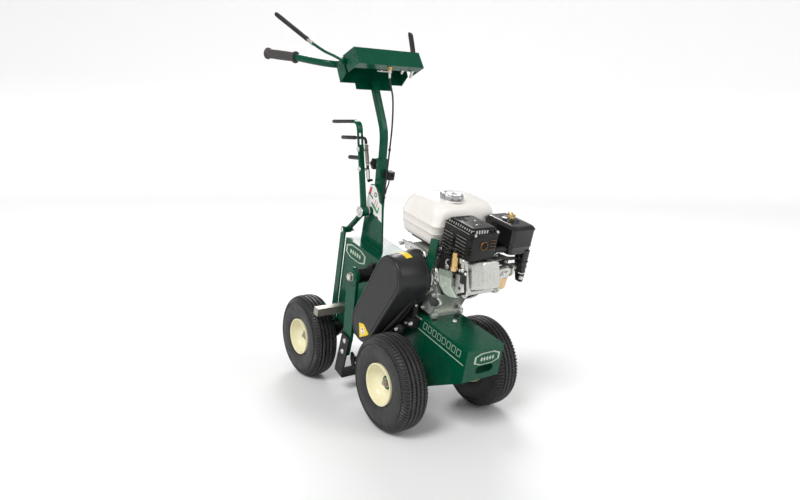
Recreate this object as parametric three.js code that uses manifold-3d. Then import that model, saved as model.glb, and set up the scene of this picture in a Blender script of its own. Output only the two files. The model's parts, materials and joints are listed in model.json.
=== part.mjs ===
// Walk-behind sod cutter: wheeled steel chassis, small petrol engine, oscillating U blade,
// depth lever with a swinging rear axle, and a mast with handlebar and control levers.
// Millimetres. +X points forward (nose), +Y to the operator's left, +Z up.
// Most pieces are drawn in the chassis frame, whose origin is the front axle centre; the
// chassis sits nose down, because the depth lever stands in its transport position.
import * as THREE from "three";
import { mergeVertices } from "three/addons/utils/BufferGeometryUtils.js";
import Module from "manifold-3d";

const wasm = await Module();
wasm.setup();

// ---------- driving dimensions ----------
const GAP = 0.3; // running and assembly clearance
const BODY_SHIFT_X = 226.53; // puts the origin under the middle of the whole machine
const PITCH = (12.8 * Math.PI) / 180; // nose-down angle of the chassis in transport
const TYRE_R = 133.5; // 4.10/3.50-4 tyre
const TYRE_HALF_W = 43;
const RIM_R = 58.4;
const FRONT_HALF_TRACK = 163.4;
const REAR_HALF_TRACK = 150;
const AXLE_R = 10;
const AXLE_END = 13; // axle reach past the middle of each wheel
const WHEEL_SIDES = 24;
const WHEELBASE = 498.4;
const REAR_AXLE = [-WHEELBASE * Math.cos(PITCH), -WHEELBASE * Math.sin(PITCH)];
const YOKE_PIVOT = [-375, 30];
const LINK_FOOT = [-480, -70];
const LINK_STUD_R = 5;
const LINK_HOLE_R = 8;
const YOKE_PIN_R = 8;
const YOKE_TIE = [-428, -37];
const YOKE_Y = [44, 52]; // each yoke arm, inside the chassis

const DECK_Z = 166; // top of the nose channel
const BOX_TOP_Z = 239; // top of the raised rear box
const NOSE_X = 171;
const BOX_REAR_X = -467;
const BOX_FRONT_X = -235;
const SKIRT_Z = -52; // lower edge of the side plates
const CHASSIS_HALF_W = 63.5;
const PLATE = 4;

const ROCK_SHAFT = [-283, 189]; // pivot of the blade frame
const ROCK_SHAFT_R = 12;
const ARM_OUTER_Y = 144;
const ARM_T = 10;
const BLADE_FOOT = [-285, -149];
const BLADE_LEAN = (7 * Math.PI) / 180;
const BLADE_W = 44;
const BLADE_T = 6;
const BLADE_LEG = 150;

const CRANK = [-88, 272]; // engine crankshaft
const JACKSHAFT = [-178, 88]; // driven pulley and eccentric
const DRIVE_BELT_R = [19, 28.5];
const DRIVEN_BELT_R = [39, 48.5];
const BELT_Y = -108;
const THROW = 3; // eccentric throw

const LEVER_PIVOT = [-405, 347];
const CRANK_PIN = [-483, 259];
const LEVER_TOP = [-495, 612];
const LEVER_Y = [-60, -42];
const LEVER_T = 8;

const MAST_FOOT = [-390, 242];
const MAST_BEND = [-425, 594];
const MAST_TOP = [-523, 734];
const MAST_W = 21;
const SOCKET_W = 26.6;
const SOCKET_TOP_Z = 514;

const CONTROL_HALF_W = 118;
const CYLINDER_TILT = (20 * Math.PI) / 180;

// ---------- colours ----------
const PAINT = {
  green: [0x0b4a35, 0.3, 0.1],
  black: [0x16171a, 0.45, 0.1],
  tyre: [0x26262a, 0.85, 0],
  cream: [0xe9e0bd, 0.4, 0],
  steel: [0x9a9890, 0.5, 0.9],
  zinc: [0xc4c8ca, 0.3, 0.9],
  cast: [0xa9b3a8, 0.55, 0.7],
  white: [0xece9e4, 0.35, 0],
  cover: [0x3d3e40, 0.5, 0],
  rubber: [0x2e2c2b, 0.8, 0],
  brass: [0xb08a45, 0.35, 0.9],
};

// ---------- geometry helpers ----------
const AXES = {
  // where a flat outline's own x, y and its extrusion direction point
  xz: new THREE.Matrix4().makeBasis(
    new THREE.Vector3(1, 0, 0),
    new THREE.Vector3(0, 0, 1),
    new THREE.Vector3(0, -1, 0),
  ),
  yz: new THREE.Matrix4().makeBasis(
    new THREE.Vector3(0, 1, 0),
    new THREE.Vector3(0, 0, 1),
    new THREE.Vector3(1, 0, 0),
  ),
  xy: new THREE.Matrix4(),
};

function outline(points) {
  return new THREE.Shape(points.map(([x, y]) => new THREE.Vector2(x, y)));
}

// A flat outline in a plane, thickened from a to b along the plane's third axis.
function slab(plane, points, a, b) {
  const low = Math.min(a, b);
  const high = Math.max(a, b);
  const g = new THREE.ExtrudeGeometry(outline(points), {
    depth: high - low,
    bevelEnabled: false,
  });
  g.applyMatrix4(AXES[plane]);
  if (plane === "xz") g.translate(0, high, 0);
  if (plane === "yz") g.translate(low, 0, 0);
  if (plane === "xy") g.translate(0, 0, low);
  return g;
}

function block(x0, x1, y0, y1, z0, z1) {
  return new THREE.BoxGeometry(x1 - x0, y1 - y0, z1 - z0).translate(
    (x0 + x1) / 2,
    (y0 + y1) / 2,
    (z0 + z1) / 2,
  );
}

// A round bar from one point to another.
function rod(from, to, radius, sides = 16, endRadius = radius) {
  const a = new THREE.Vector3(...from);
  const b = new THREE.Vector3(...to);
  const g = new THREE.CylinderGeometry(endRadius, radius, a.distanceTo(b), sides);
  const turn = new THREE.Quaternion().setFromUnitVectors(
    new THREE.Vector3(0, 1, 0),
    b.clone().sub(a).normalize(),
  );
  g.applyQuaternion(turn);
  return g.translate(...a.add(b).multiplyScalar(0.5).toArray());
}

// A round bar across the machine, centred on an XZ point.
function crossRod([x, z], y0, y1, radius, sides = 16) {
  return rod([x, y0, z], [x, y1, z], radius, sides);
}

// A solid of revolution about Y from a closed [radius, y] profile.
function turned(profile, sides, [x, z] = [0, 0], y = 0) {
  const points = profile.map(([r, h]) => new THREE.Vector2(r, h));
  points.push(points[0].clone());
  return new THREE.LatheGeometry(points, sides).translate(x, y, z);
}

function circle([x, y], radius, sides = 24, from = 0, to = 2 * Math.PI) {
  const closed = to - from > 6.28;
  const n = closed ? sides : sides + 1;
  return Array.from({ length: n }, (_, i) => {
    const t = from + ((to - from) * i) / sides;
    return [x + radius * Math.cos(t), y + radius * Math.sin(t)];
  });
}

// The outline of a belt round two circles, anticlockwise.
function capsule(a, ra, b, rb, sides = 12) {
  const dx = b[0] - a[0];
  const dy = b[1] - a[1];
  const along = Math.atan2(dy, dx);
  const spread = Math.acos((ra - rb) / Math.hypot(dx, dy));
  return [
    ...circle(b, rb, sides, along - spread, along + spread),
    ...circle(a, ra, sides, along + spread, along + 2 * Math.PI - spread),
  ];
}

// A rounded rectangle's outline.
function pad(cx, cy, w, h, r, sides = 3) {
  const corners = [
    [cx + w / 2 - r, cy + h / 2 - r, 0],
    [cx - w / 2 + r, cy + h / 2 - r, 1],
    [cx - w / 2 + r, cy - h / 2 + r, 2],
    [cx + w / 2 - r, cy - h / 2 + r, 3],
  ];
  return corners.flatMap(([x, y, q]) =>
    circle([x, y], r, sides, (q * Math.PI) / 2, ((q + 1) * Math.PI) / 2),
  );
}

// Corners of a polyline replaced by arcs.
function eased(points, radius, steps = 4) {
  const out = [points[0]];
  for (let i = 1; i < points.length - 1; i++) {
    const p = new THREE.Vector3(...points[i]);
    const before = new THREE.Vector3(...points[i - 1]).sub(p);
    const after = new THREE.Vector3(...points[i + 1]).sub(p);
    const reach = Math.min(radius, before.length() / 2.1, after.length() / 2.1);
    const curve = new THREE.QuadraticBezierCurve3(
      p.clone().add(before.normalize().multiplyScalar(reach)),
      p,
      p.clone().add(after.normalize().multiplyScalar(reach)),
    );
    out.push(...curve.getPoints(steps).map((v) => v.toArray()));
  }
  out.push(points[points.length - 1]);
  return out;
}

// A strip of metal: a polyline in a plane, thickened to both sides.
function stripOutline(points, thickness) {
  const side = (sign) =>
    points.map((p, i) => {
      const a = points[Math.max(i - 1, 0)];
      const b = points[Math.min(i + 1, points.length - 1)];
      const d0 = new THREE.Vector2(p[0] - a[0], p[1] - a[1]).normalize();
      const d1 = new THREE.Vector2(b[0] - p[0], b[1] - p[1]).normalize();
      if (i === 0) d0.copy(d1);
      if (i === points.length - 1) d1.copy(d0);
      const mean = d0.clone().add(d1).normalize();
      const stretch = 1 / Math.max(mean.dot(d0), 0.4);
      const off = (sign * thickness * stretch) / 2;
      return [p[0] - mean.y * off, p[1] + mean.x * off];
    });
  return [...side(-1), ...side(1).reverse()];
}

function strip(plane, points, thickness, a, b) {
  return slab(plane, stripOutline(points, thickness), a, b);
}

// A bar of any section swept along a smooth path through the points.
function swept(points, section, steps) {
  const curve = new THREE.CatmullRomCurve3(
    points.map((p) => new THREE.Vector3(...p)),
    false,
    "centripetal",
  );
  return new THREE.ExtrudeGeometry(outline(section), {
    steps,
    bevelEnabled: false,
    extrudePath: curve,
  });
}

// A closed skin over rings of equal length, with flat ends.
function loft(rings) {
  const n = rings[0].length;
  const ends = [rings[0], rings[rings.length - 1]];
  const middle = ends.map((ring) =>
    [0, 1, 2].map((k) => ring.reduce((sum, p) => sum + p[k], 0) / n),
  );
  const position = [...rings.flat(2), ...middle.flat()];
  const index = [];
  for (let r = 0; r < rings.length - 1; r++)
    for (let i = 0; i < n; i++) {
      const a = r * n + i;
      const b = r * n + ((i + 1) % n);
      index.push(a, b, b + n, a, b + n, a + n);
    }
  const last = (rings.length - 1) * n;
  for (let i = 0; i < n; i++) {
    const j = (i + 1) % n;
    index.push(rings.length * n, j, i);
    index.push(rings.length * n + 1, last + i, last + j);
  }
  const g = new THREE.BufferGeometry();
  g.setAttribute("position", new THREE.Float32BufferAttribute(position, 3));
  g.setIndex(index);
  return g;
}

// ---------- booleans ----------
function solid(geometry) {
  if (!(geometry instanceof THREE.BufferGeometry)) return geometry;
  const g = geometry.clone();
  g.deleteAttribute("normal");
  g.deleteAttribute("uv");
  const merged = mergeVertices(g, 1e-3);
  const made = new wasm.Manifold(
    new wasm.Mesh({
      numProp: 3,
      vertProperties: new Float32Array(merged.attributes.position.array),
      triVerts: new Uint32Array(merged.index.array),
    }),
  );
  if (made.volume() > 0) return made;
  const index = merged.index.array;
  for (let i = 0; i < index.length; i += 3)
    [index[i + 1], index[i + 2]] = [index[i + 2], index[i + 1]];
  return solid(merged);
}

function joined(...pieces) {
  return pieces.map(solid).reduce((a, b) => a.add(b));
}

function cut(body, ...tools) {
  return tools.map(solid).reduce((a, b) => a.subtract(b), solid(body));
}

function geometryOf(made) {
  if (made instanceof THREE.BufferGeometry) made = solid(made);
  const mesh = made.getMesh();
  const g = new THREE.BufferGeometry();
  const xyz = new Float32Array(mesh.numVert * 3);
  for (let i = 0; i < mesh.numVert; i++)
    xyz.set(mesh.vertProperties.subarray(i * mesh.numProp, i * mesh.numProp + 3), i * 3);
  g.setAttribute("position", new THREE.BufferAttribute(xyz, 3));
  g.setIndex(new THREE.BufferAttribute(new Uint32Array(mesh.triVerts), 1));
  g.computeVertexNormals();
  return g;
}

// ---------- scene graph ----------
const machine = new THREE.Group();
machine.position.set(BODY_SHIFT_X, 0, 0);
const chassis = new THREE.Group();
chassis.position.z = TYRE_R;
chassis.rotation.y = PITCH;
machine.add(chassis);

function add(name, paint, made) {
  const [color, roughness, metalness] = PAINT[paint];
  const material = new THREE.MeshStandardMaterial({ color, roughness, metalness });
  const mesh = new THREE.Mesh(geometryOf(made), material);
  mesh.name = name;
  chassis.add(mesh);
  return mesh;
}

// ---------- wheels ----------
const TYRE_PROFILE = [
  [RIM_R + GAP, -32],
  [70, -37],
  [98, -TYRE_HALF_W],
  [120, -39],
  [130, -32],
  [TYRE_R, -20],
  [TYRE_R, 20],
  [130, 32],
  [120, 39],
  [98, TYRE_HALF_W],
  [70, 37],
  [RIM_R + GAP, 32],
];
const HUB_BORE_R = AXLE_R + GAP;
const RIM_PROFILE = [
  [HUB_BORE_R, -40],
  [17, -40],
  [17, -9],
  [46, -9],
  [54, -39],
  [RIM_R, -39],
  [RIM_R, 39],
  [54.5, 39],
  [49, 2],
  [18, -3],
  [17, 11],
  [HUB_BORE_R, 11],
];

function wheel(name, [x, z], y) {
  const outward = Math.sign(y);
  const parts = [
    ["tyre", "tyre", TYRE_PROFILE],
    ["rim", "cream", RIM_PROFILE],
  ];
  for (const [kind, paint, profile] of parts) {
    const facing = profile.map(([r, h]) => [r, h * outward]);
    if (outward < 0) facing.reverse();
    const mesh = add(name + "_" + kind, paint, turned(facing, WHEEL_SIDES));
    mesh.position.set(x, y, z);
    mesh.rotation.y = -PITCH; // a vertex of the tread touches the ground
  }
}

for (const [side, sign] of [["left", 1], ["right", -1]]) {
  wheel("front_" + side, [0, 0], sign * FRONT_HALF_TRACK);
  wheel("rear_" + side, REAR_AXLE, sign * REAR_HALF_TRACK);
}
function axle(name, at, halfTrack) {
  const end = halfTrack + AXLE_END;
  add(name, "steel", crossRod(at, -end, end, AXLE_R));
}
axle("front_axle", [0, 0], FRONT_HALF_TRACK);
axle("rear_axle", REAR_AXLE, REAR_HALF_TRACK);

// ---------- chassis ----------
const sideProfile = [
  [NOSE_X, DECK_Z],
  [BOX_FRONT_X, DECK_Z],
  [BOX_FRONT_X, BOX_TOP_Z],
  [BOX_REAR_X, BOX_TOP_Z],
  [BOX_REAR_X, SKIRT_Z],
  [-60, SKIRT_Z],
  [-10, -48],
  [NOSE_X, 73],
];
const hollowProfile = [
  [NOSE_X - PLATE, DECK_Z - PLATE],
  [BOX_FRONT_X - PLATE, DECK_Z - PLATE],
  [BOX_FRONT_X - PLATE, BOX_TOP_Z - PLATE],
  [BOX_REAR_X + PLATE, BOX_TOP_Z - PLATE],
  [BOX_REAR_X + PLATE, -120],
  [NOSE_X - PLATE, -120],
];
const HALF_IN = CHASSIS_HALF_W - PLATE;
const noseSlot = slab("yz", pad(7, 102, 62, 23, 11.4), NOSE_X - 30, NOSE_X + 30);
const shell = cut(
  slab("xz", sideProfile, -CHASSIS_HALF_W, CHASSIS_HALF_W),
  slab("xz", hollowProfile, -HALF_IN, HALF_IN),
  block(BOX_REAR_X - 20, BOX_REAR_X + 20, -HALF_IN, HALF_IN, -200, 70),
  noseSlot,
  crossRod([0, 0], -100, 100, AXLE_R + GAP + 0.3),
  crossRod(ROCK_SHAFT, -100, 100, ROCK_SHAFT_R + GAP),
  crossRod(JACKSHAFT, -100, 100, AXLE_R + GAP),
);
const yokePin = crossRod(YOKE_PIVOT, -CHASSIS_HALF_W + 1, CHASSIS_HALF_W - 1, YOKE_PIN_R);
const tieX = BOX_FRONT_X + 60;
const crossTie = block(tieX, tieX + 6, -HALF_IN - 1, HALF_IN + 1, 120, DECK_Z - 1);
add("chassis_frame", "green", joined(shell, yokePin, crossTie));

// Bare steel lifting bar through the side plates.
const LIFT_BAR = [-392, 27];
const LIFT_BAR_HALF = 12.5;
const LIFT_BAR_END_Y = -190;
const liftBar = block(
  LIFT_BAR[0] - LIFT_BAR_HALF,
  LIFT_BAR[0] + LIFT_BAR_HALF,
  LIFT_BAR_END_Y,
  -CHASSIS_HALF_W - GAP,
  LIFT_BAR[1] - LIFT_BAR_HALF,
  LIFT_BAR[1] + LIFT_BAR_HALF,
);
add("lift_bar", "steel", liftBar);

// ---------- rear yoke ----------
const yokeArm = (y0, y1) =>
  slab("xz", capsule(YOKE_PIVOT, 18, REAR_AXLE, 22, 8), y0, y1);
const yokeLug = slab("xz", capsule(REAR_AXLE, 18, LINK_FOOT, 12, 8), -YOKE_Y[1], -YOKE_Y[0]);
const yoke = joined(
  yokeArm(-YOKE_Y[1], -YOKE_Y[0]),
  yokeArm(...YOKE_Y),
  yokeLug,
  crossRod(REAR_AXLE, -106, 106, 17, 20),
  crossRod(YOKE_TIE, -46, 46, 8, 12),
  crossRod(LINK_FOOT, -74, -46, LINK_STUD_R, 12),
);
add(
  "rear_yoke",
  "black",
  cut(
    yoke,
    crossRod(REAR_AXLE, -120, 120, AXLE_R + GAP),
    crossRod(YOKE_PIVOT, -60, 60, YOKE_PIN_R + GAP),
  ),
);

// ---------- blade frame ----------
const armProfile = [
  [-309, 180],
  [-301, 80],
  [-292, 0],
  [-294, -60],
  [-272, -78],
  [-254, -64],
  [-247, 0],
  [-252, 90],
  [-257, 180],
];
function bladeArm(sign) {
  const y0 = sign * (ARM_OUTER_Y - ARM_T);
  const y1 = sign * ARM_OUTER_Y;
  return cut(
    joined(slab("xz", armProfile, y0, y1), crossRod(ROCK_SHAFT, y0, y1, 30, 24)),
    crossRod(ROCK_SHAFT, -200, 200, ROCK_SHAFT_R + GAP),
  );
}
add("blade_arm_left", "green", bladeArm(1));
add("blade_arm_right", "green", bladeArm(-1));

const BLADE_HALF = ARM_OUTER_Y + GAP + BLADE_T / 2;
const uPath = eased(
  [
    [-BLADE_HALF, BLADE_LEG, 0],
    [-BLADE_HALF, BLADE_T / 2, 0],
    [BLADE_HALF, BLADE_T / 2, 0],
    [BLADE_HALF, BLADE_LEG, 0],
  ],
  12,
  3,
);
const cuttingBevel = [
  [BLADE_W / 2 - 14, -1],
  [BLADE_W / 2 + 1, -1],
  [BLADE_W / 2 + 1, 4.6],
];
const blade = add(
  "sod_blade",
  "black",
  cut(
    strip("yz", uPath, BLADE_T, -BLADE_W / 2, BLADE_W / 2),
    slab("xz", cuttingBevel, -200, 200),
  ),
);
blade.position.set(BLADE_FOOT[0], 0, BLADE_FOOT[1]);
blade.rotation.y = BLADE_LEAN;

// Washer and hex head at each end of the rock shaft.
const shaftEnd = (sign) =>
  joined(
    crossRod(ROCK_SHAFT, sign * (ARM_OUTER_Y + GAP), sign * (ARM_OUTER_Y + 4), 22, 20),
    crossRod(ROCK_SHAFT, sign * (ARM_OUTER_Y + 3), sign * (ARM_OUTER_Y + 13), 13, 6),
  );
add(
  "rock_shaft",
  "zinc",
  joined(
    crossRod(ROCK_SHAFT, -ARM_OUTER_Y - 2, ARM_OUTER_Y + 2, ROCK_SHAFT_R),
    shaftEnd(1),
    shaftEnd(-1),
  ),
);
for (const [side, sign] of [["left", 1], ["right", -1]]) {
  const inner = sign * (CHASSIS_HALF_W + GAP);
  const outer = sign * (ARM_OUTER_Y - ARM_T - 1);
  const tube = joined(
    crossRod(ROCK_SHAFT, inner, outer, 21, 24),
    crossRod(ROCK_SHAFT, inner, inner + sign * 8, 32, 24),
  );
  const bore = crossRod(ROCK_SHAFT, -160, 160, ROCK_SHAFT_R + GAP);
  add("shaft_housing_" + side, "black", cut(tube, bore));
}

// Rocker, pitman rod and eccentric inside the chassis.
const ROCKER_PIN = [ROCK_SHAFT[0] - 6, ROCK_SHAFT[1] - 69];
add(
  "rocker_lever",
  "steel",
  cut(
    joined(
      slab("xz", capsule(ROCK_SHAFT, 22, ROCKER_PIN, 12, 8), 8, 16),
      crossRod(ROCKER_PIN, -7, 12, 6, 12),
    ),
    crossRod(ROCK_SHAFT, -60, 60, ROCK_SHAFT_R + GAP),
  ),
);
const ECCENTRIC_R = 18;
const EYE_R = ECCENTRIC_R + THROW + 3.6;
add(
  "pitman_rod",
  "steel",
  cut(
    joined(
      crossRod(JACKSHAFT, -6, 6, EYE_R + 7, 24),
      slab("xz", capsule(JACKSHAFT, 10, ROCKER_PIN, 8, 6), -5, 5),
      crossRod(ROCKER_PIN, -6, 6, 13, 16),
    ),
    crossRod(JACKSHAFT, -20, 20, EYE_R, 24),
    crossRod(ROCKER_PIN, -20, 20, 6 + GAP, 12),
  ),
);
add(
  "eccentric_shaft",
  "steel",
  joined(
    crossRod(JACKSHAFT, -146, HALF_IN + 10, AXLE_R),
    crossRod([JACKSHAFT[0] + THROW, JACKSHAFT[1]], -8, 8, ECCENTRIC_R, 24),
  ),
);

// ---------- belt drive ----------
function pulley([low, high], boreR) {
  return [
    [boreR, -14],
    [low - 1, -14],
    [low - 1, -10],
    [high + 2, -10],
    [high + 2, -7],
    [low - 1, -6.6],
    [low - 1, 6.6],
    [high + 2, 7],
    [high + 2, 10],
    [boreR, 10],
  ];
}
const PULLEY_BORE_R = AXLE_R + GAP;
add("driven_pulley", "cast", turned(pulley(DRIVEN_BELT_R, PULLEY_BORE_R), 18, JACKSHAFT, BELT_Y));
add("drive_pulley", "cast", turned(pulley(DRIVE_BELT_R, PULLEY_BORE_R), 16, CRANK, BELT_Y));
const beltLoop = (edge, halfWidth) =>
  slab(
    "xz",
    capsule(CRANK, DRIVE_BELT_R[edge], JACKSHAFT, DRIVEN_BELT_R[edge]),
    BELT_Y - halfWidth,
    BELT_Y + halfWidth,
  );
add("drive_belt", "rubber", cut(beltLoop(1, 6), beltLoop(0, 9)));
add("engine_crankshaft", "steel", crossRod(CRANK, -140, 90, AXLE_R));

const COVER_Y = [-160, -66];
function coverRing(y, grow, forward = 0) {
  const foot = [JACKSHAFT[0] + forward, JACKSHAFT[1] + forward];
  const rim = capsule(CRANK, 62 + grow, foot, 58 + grow + forward / 2, 12);
  return rim.map(([x, z]) => [x, y, z]);
}
const coverOuter = loft([
  coverRing(COVER_Y[0], -6),
  coverRing(COVER_Y[0] + 5, 0),
  coverRing(COVER_Y[1], 6, 10),
]);
const coverInner = loft([
  coverRing(COVER_Y[0] + 4, -6),
  coverRing(COVER_Y[1] + 4, 1),
]);
add("belt_cover", "cover", cut(coverOuter, coverInner));

// ---------- engine ----------
const alongCylinder = (s, t) => [
  CRANK[0] + s * Math.cos(CYLINDER_TILT) - t * Math.sin(CYLINDER_TILT),
  CRANK[1] + s * Math.sin(CYLINDER_TILT) + t * Math.cos(CYLINDER_TILT),
];
const ENGINE_FOOT = [-206, -16];
const footMiddle = (ENGINE_FOOT[0] + ENGINE_FOOT[1]) / 2;
const footOutline = pad(footMiddle, 15, ENGINE_FOOT[1] - ENGINE_FOOT[0], 92, 10);
const caseProfile = [
  [ENGINE_FOOT[0] + 16, DECK_Z + 12],
  [ENGINE_FOOT[1] - 14, DECK_Z + 12],
  [ENGINE_FOOT[1] + 6, 226],
  alongCylinder(71, -56),
  alongCylinder(71, 54),
  [-74, 350],
  [-140, 346],
  [-176, 300],
];
add(
  "crankcase",
  "cast",
  cut(
    joined(
      slab("xy", footOutline, DECK_Z + GAP, DECK_Z + 13),
      slab("xz", caseProfile, -46, 76),
      crossRod(CRANK, -60, -45, 40, 24),
    ),
    crossRod(CRANK, -80, 92, AXLE_R + GAP),
  ),
);
const FINS = 8;
const FIN_PITCH = 8;
const finSide = (t, deep) =>
  Array.from({ length: FINS }, (_, i) => {
    const s = 72 + i * FIN_PITCH;
    return [
      alongCylinder(s, t),
      alongCylinder(s + 3.4, t),
      alongCylinder(s + 3.4, deep),
      alongCylinder(s + FIN_PITCH, deep),
    ];
  }).flat();
const finned = [...finSide(-56, -44), ...finSide(52, 40).reverse()];
add("cylinder", "cast", slab("xz", finned, -34, 74));
const HEAD_FROM = 72 + FINS * FIN_PITCH + GAP;
const HEAD_TO = HEAD_FROM + 26;
const headProfile = [
  alongCylinder(HEAD_FROM, -54),
  alongCylinder(HEAD_TO, -54),
  alongCylinder(HEAD_TO, 50),
  alongCylinder(HEAD_FROM, 50),
];
add("cylinder_head", "cast", slab("xz", headProfile, -30, 70));
function acrossCylinder(s, halfT, y0, y1, round) {
  return pad((y0 + y1) / 2, -3, y1 - y0, 2 * halfT, round, 3).map(([y, t]) => {
    const [x, z] = alongCylinder(s, t);
    return [x, y, z];
  });
}
add(
  "rocker_cover",
  "zinc",
  loft([
    acrossCylinder(HEAD_TO + GAP, 46, -24, 64, 12),
    acrossCylinder(HEAD_TO + 5, 46, -24, 64, 12),
    acrossCylinder(HEAD_TO + 8, 40, -18, 58, 12),
    acrossCylinder(HEAD_TO + 30, 38, -16, 56, 14),
    acrossCylinder(HEAD_TO + 35, 33, -10, 50, 12),
  ]),
);

function levelRing(z, x0, x1, y0, y1, round) {
  const ring = pad((x0 + x1) / 2, (y0 + y1) / 2, x1 - x0, y1 - y0, round, 3);
  return ring.map(([x, y]) => [x, y, z]);
}
add(
  "muffler",
  "black",
  cut(
    loft([
      levelRing(381, -30, 76, -31, 52, 6),
      levelRing(387, -32, 80, -35, 56, 8),
      levelRing(448, -32, 80, -35, 56, 8),
      levelRing(461, -24, 70, -26, 48, 8),
    ]),
    rod([70, 16, 424], [95, 16, 424], 9, 16),
  ),
);
add(
  "air_cleaner",
  "black",
  joined(
    loft([
      levelRing(380, -38, 80, 114, 187, 8),
      levelRing(450, -40, 82, 112, 189, 10),
      levelRing(458, -34, 76, 118, 183, 8),
    ]),
    slab("xy", pad(60, 176, 34, 22, 6), 288, 385),
  ),
);
add("wing_nut", "brass", joined(
  rod([22, 150, 458 + GAP], [22, 150, 474], 7, 12),
  block(8, 36, 147.5, 152.5, 466, 478),
));
add(
  "fuel_tank",
  "white",
  loft([
    levelRing(367, -182, -60, -40, 140, 16),
    levelRing(392, -194, -48, -54, 152, 22),
    levelRing(427, -202, -42, -60, 158, 26),
    levelRing(468, -196, -46, -56, 154, 26),
    levelRing(484, -180, -58, -42, 140, 26),
    levelRing(489, -160, -74, -20, 118, 22),
  ]),
);
const CAP = [-92, 22];
const CAP_R = 31;
add("fuel_cap", "zinc", joined(
  rod([...CAP, 489 + GAP], [...CAP, 501], CAP_R, 24),
  rod([...CAP, 500], [...CAP, 507], CAP_R - 2, 24, CAP_R - 10),
));
add(
  "recoil_cover",
  "black",
  cut(
    joined(
      crossRod(CRANK, 79, 128, 93, 32),
      rod([CRANK[0], 127, CRANK[1]], [CRANK[0], 146, CRANK[1]], 82, 28, 66),
    ),
    crossRod(CRANK, 60, 96, AXLE_R + 4),
  ),
);
const PULL = [-42, 146 + GAP, 330];
const PULL_GRIP_Y = PULL[1] + 16;
add("recoil_handle", "rubber", joined(
  rod([PULL[0] - 30, PULL_GRIP_Y, PULL[2] - 14], [PULL[0] + 30, PULL_GRIP_Y, PULL[2] + 14], 8, 12),
  rod(PULL, [PULL[0], PULL_GRIP_Y, PULL[2]], 5, 10),
));
add("carburettor", "cast", joined(
  block(28, 70, 74, 128, 306, 346),
  rod([54, 127, 328], [54, 164, 328], 13, 16),
  rod([50, 102, 280], [50, 102, 308], 17, 18),
));
add("choke_lever", "black", block(46, 54, 106, 112, 346 + GAP, 366));
add("spark_plug_cap", "rubber", joined(
  rod([52, -32, 318], [52, -50, 322], 8, 12),
  rod([52, -48, 320], [44, -50, 366], 7, 12),
));
add("oil_dipstick", "black", rod([-2, -49, 222], [6, -62, 230], 11, 12));
const tankBracket = [
  [-196, 352],
  [-150, 360],
  [-96, 330],
  [-100, 318],
  [-150, 346],
  [-196, 338],
];
add("tank_bracket", "zinc", slab("xz", tankBracket, -58, -50));
const coverBracket = [
  [-46, 396],
  [-16, 402],
  [-18, 330],
  [-40, 285],
  [-54, 296],
];
add("cover_bracket", "green", slab("xz", coverBracket, -65.5, -60.5));

// ---------- mast and controls ----------
const between = (a, b, t) => a.map((v, i) => v + (b[i] - v) * t);
const socketShare = (SOCKET_TOP_Z - MAST_FOOT[1]) / (MAST_BEND[1] - MAST_FOOT[1]);
const socketPath = [MAST_FOOT, between(MAST_FOOT, MAST_BEND, socketShare)];
const mastStart = between(...socketPath, 0.5);
const flatPath = (points, radius, steps) =>
  eased(points.map(([x, z]) => [x, z, 0]), radius, steps);
const mastPath = flatPath([between(mastStart, MAST_BEND, 0.014), MAST_BEND, MAST_TOP], 34, 4);
add(
  "mast_socket",
  "green",
  cut(
    strip("xz", socketPath, SOCKET_W, -SOCKET_W / 2, SOCKET_W / 2),
    strip("xz", [mastStart, MAST_BEND], MAST_W + 1, -MAST_W / 2 - 0.5, MAST_W / 2 + 0.5),
  ),
);
add(
  "mast_tube",
  "green",
  strip("xz", mastPath, MAST_W, -MAST_W / 2, MAST_W / 2),
);
const KNOB = [-422, 490];
add("clamp_knob", "black", joined(
  rod([KNOB[0] - 11, 0, KNOB[1]], [KNOB[0] - 22, 0, KNOB[1] - 1.5], 7, 10),
  rod([KNOB[0] - 20, 0, KNOB[1] - 1.5], [KNOB[0] - 40, 0, KNOB[1] - 4], 20, 10),
));
add("stop_switch_box", "black", block(-397, -372, 4, 24, 456, 482));

const plateProfile = [
  [-442, BOX_TOP_Z + GAP],
  [-318, BOX_TOP_Z + GAP],
  [-349, 388],
  [-366, 392],
  [-378, 415],
  [-390, 428],
  [-404, 435],
  [-426, 430],
  [-434, 400],
  [-438, 340],
];
add(
  "quadrant_plate",
  "green",
  joined(
    slab("xz", plateProfile, -24, -18),
    crossRod(LEVER_PIVOT, -66, -20, 6, 16),
    crossRod(LEVER_PIVOT, -66, -61, 14, 20),
    crossRod(LEVER_PIVOT, LEVER_Y[1] + 1, -24, 14, 20),
  ),
);

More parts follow.
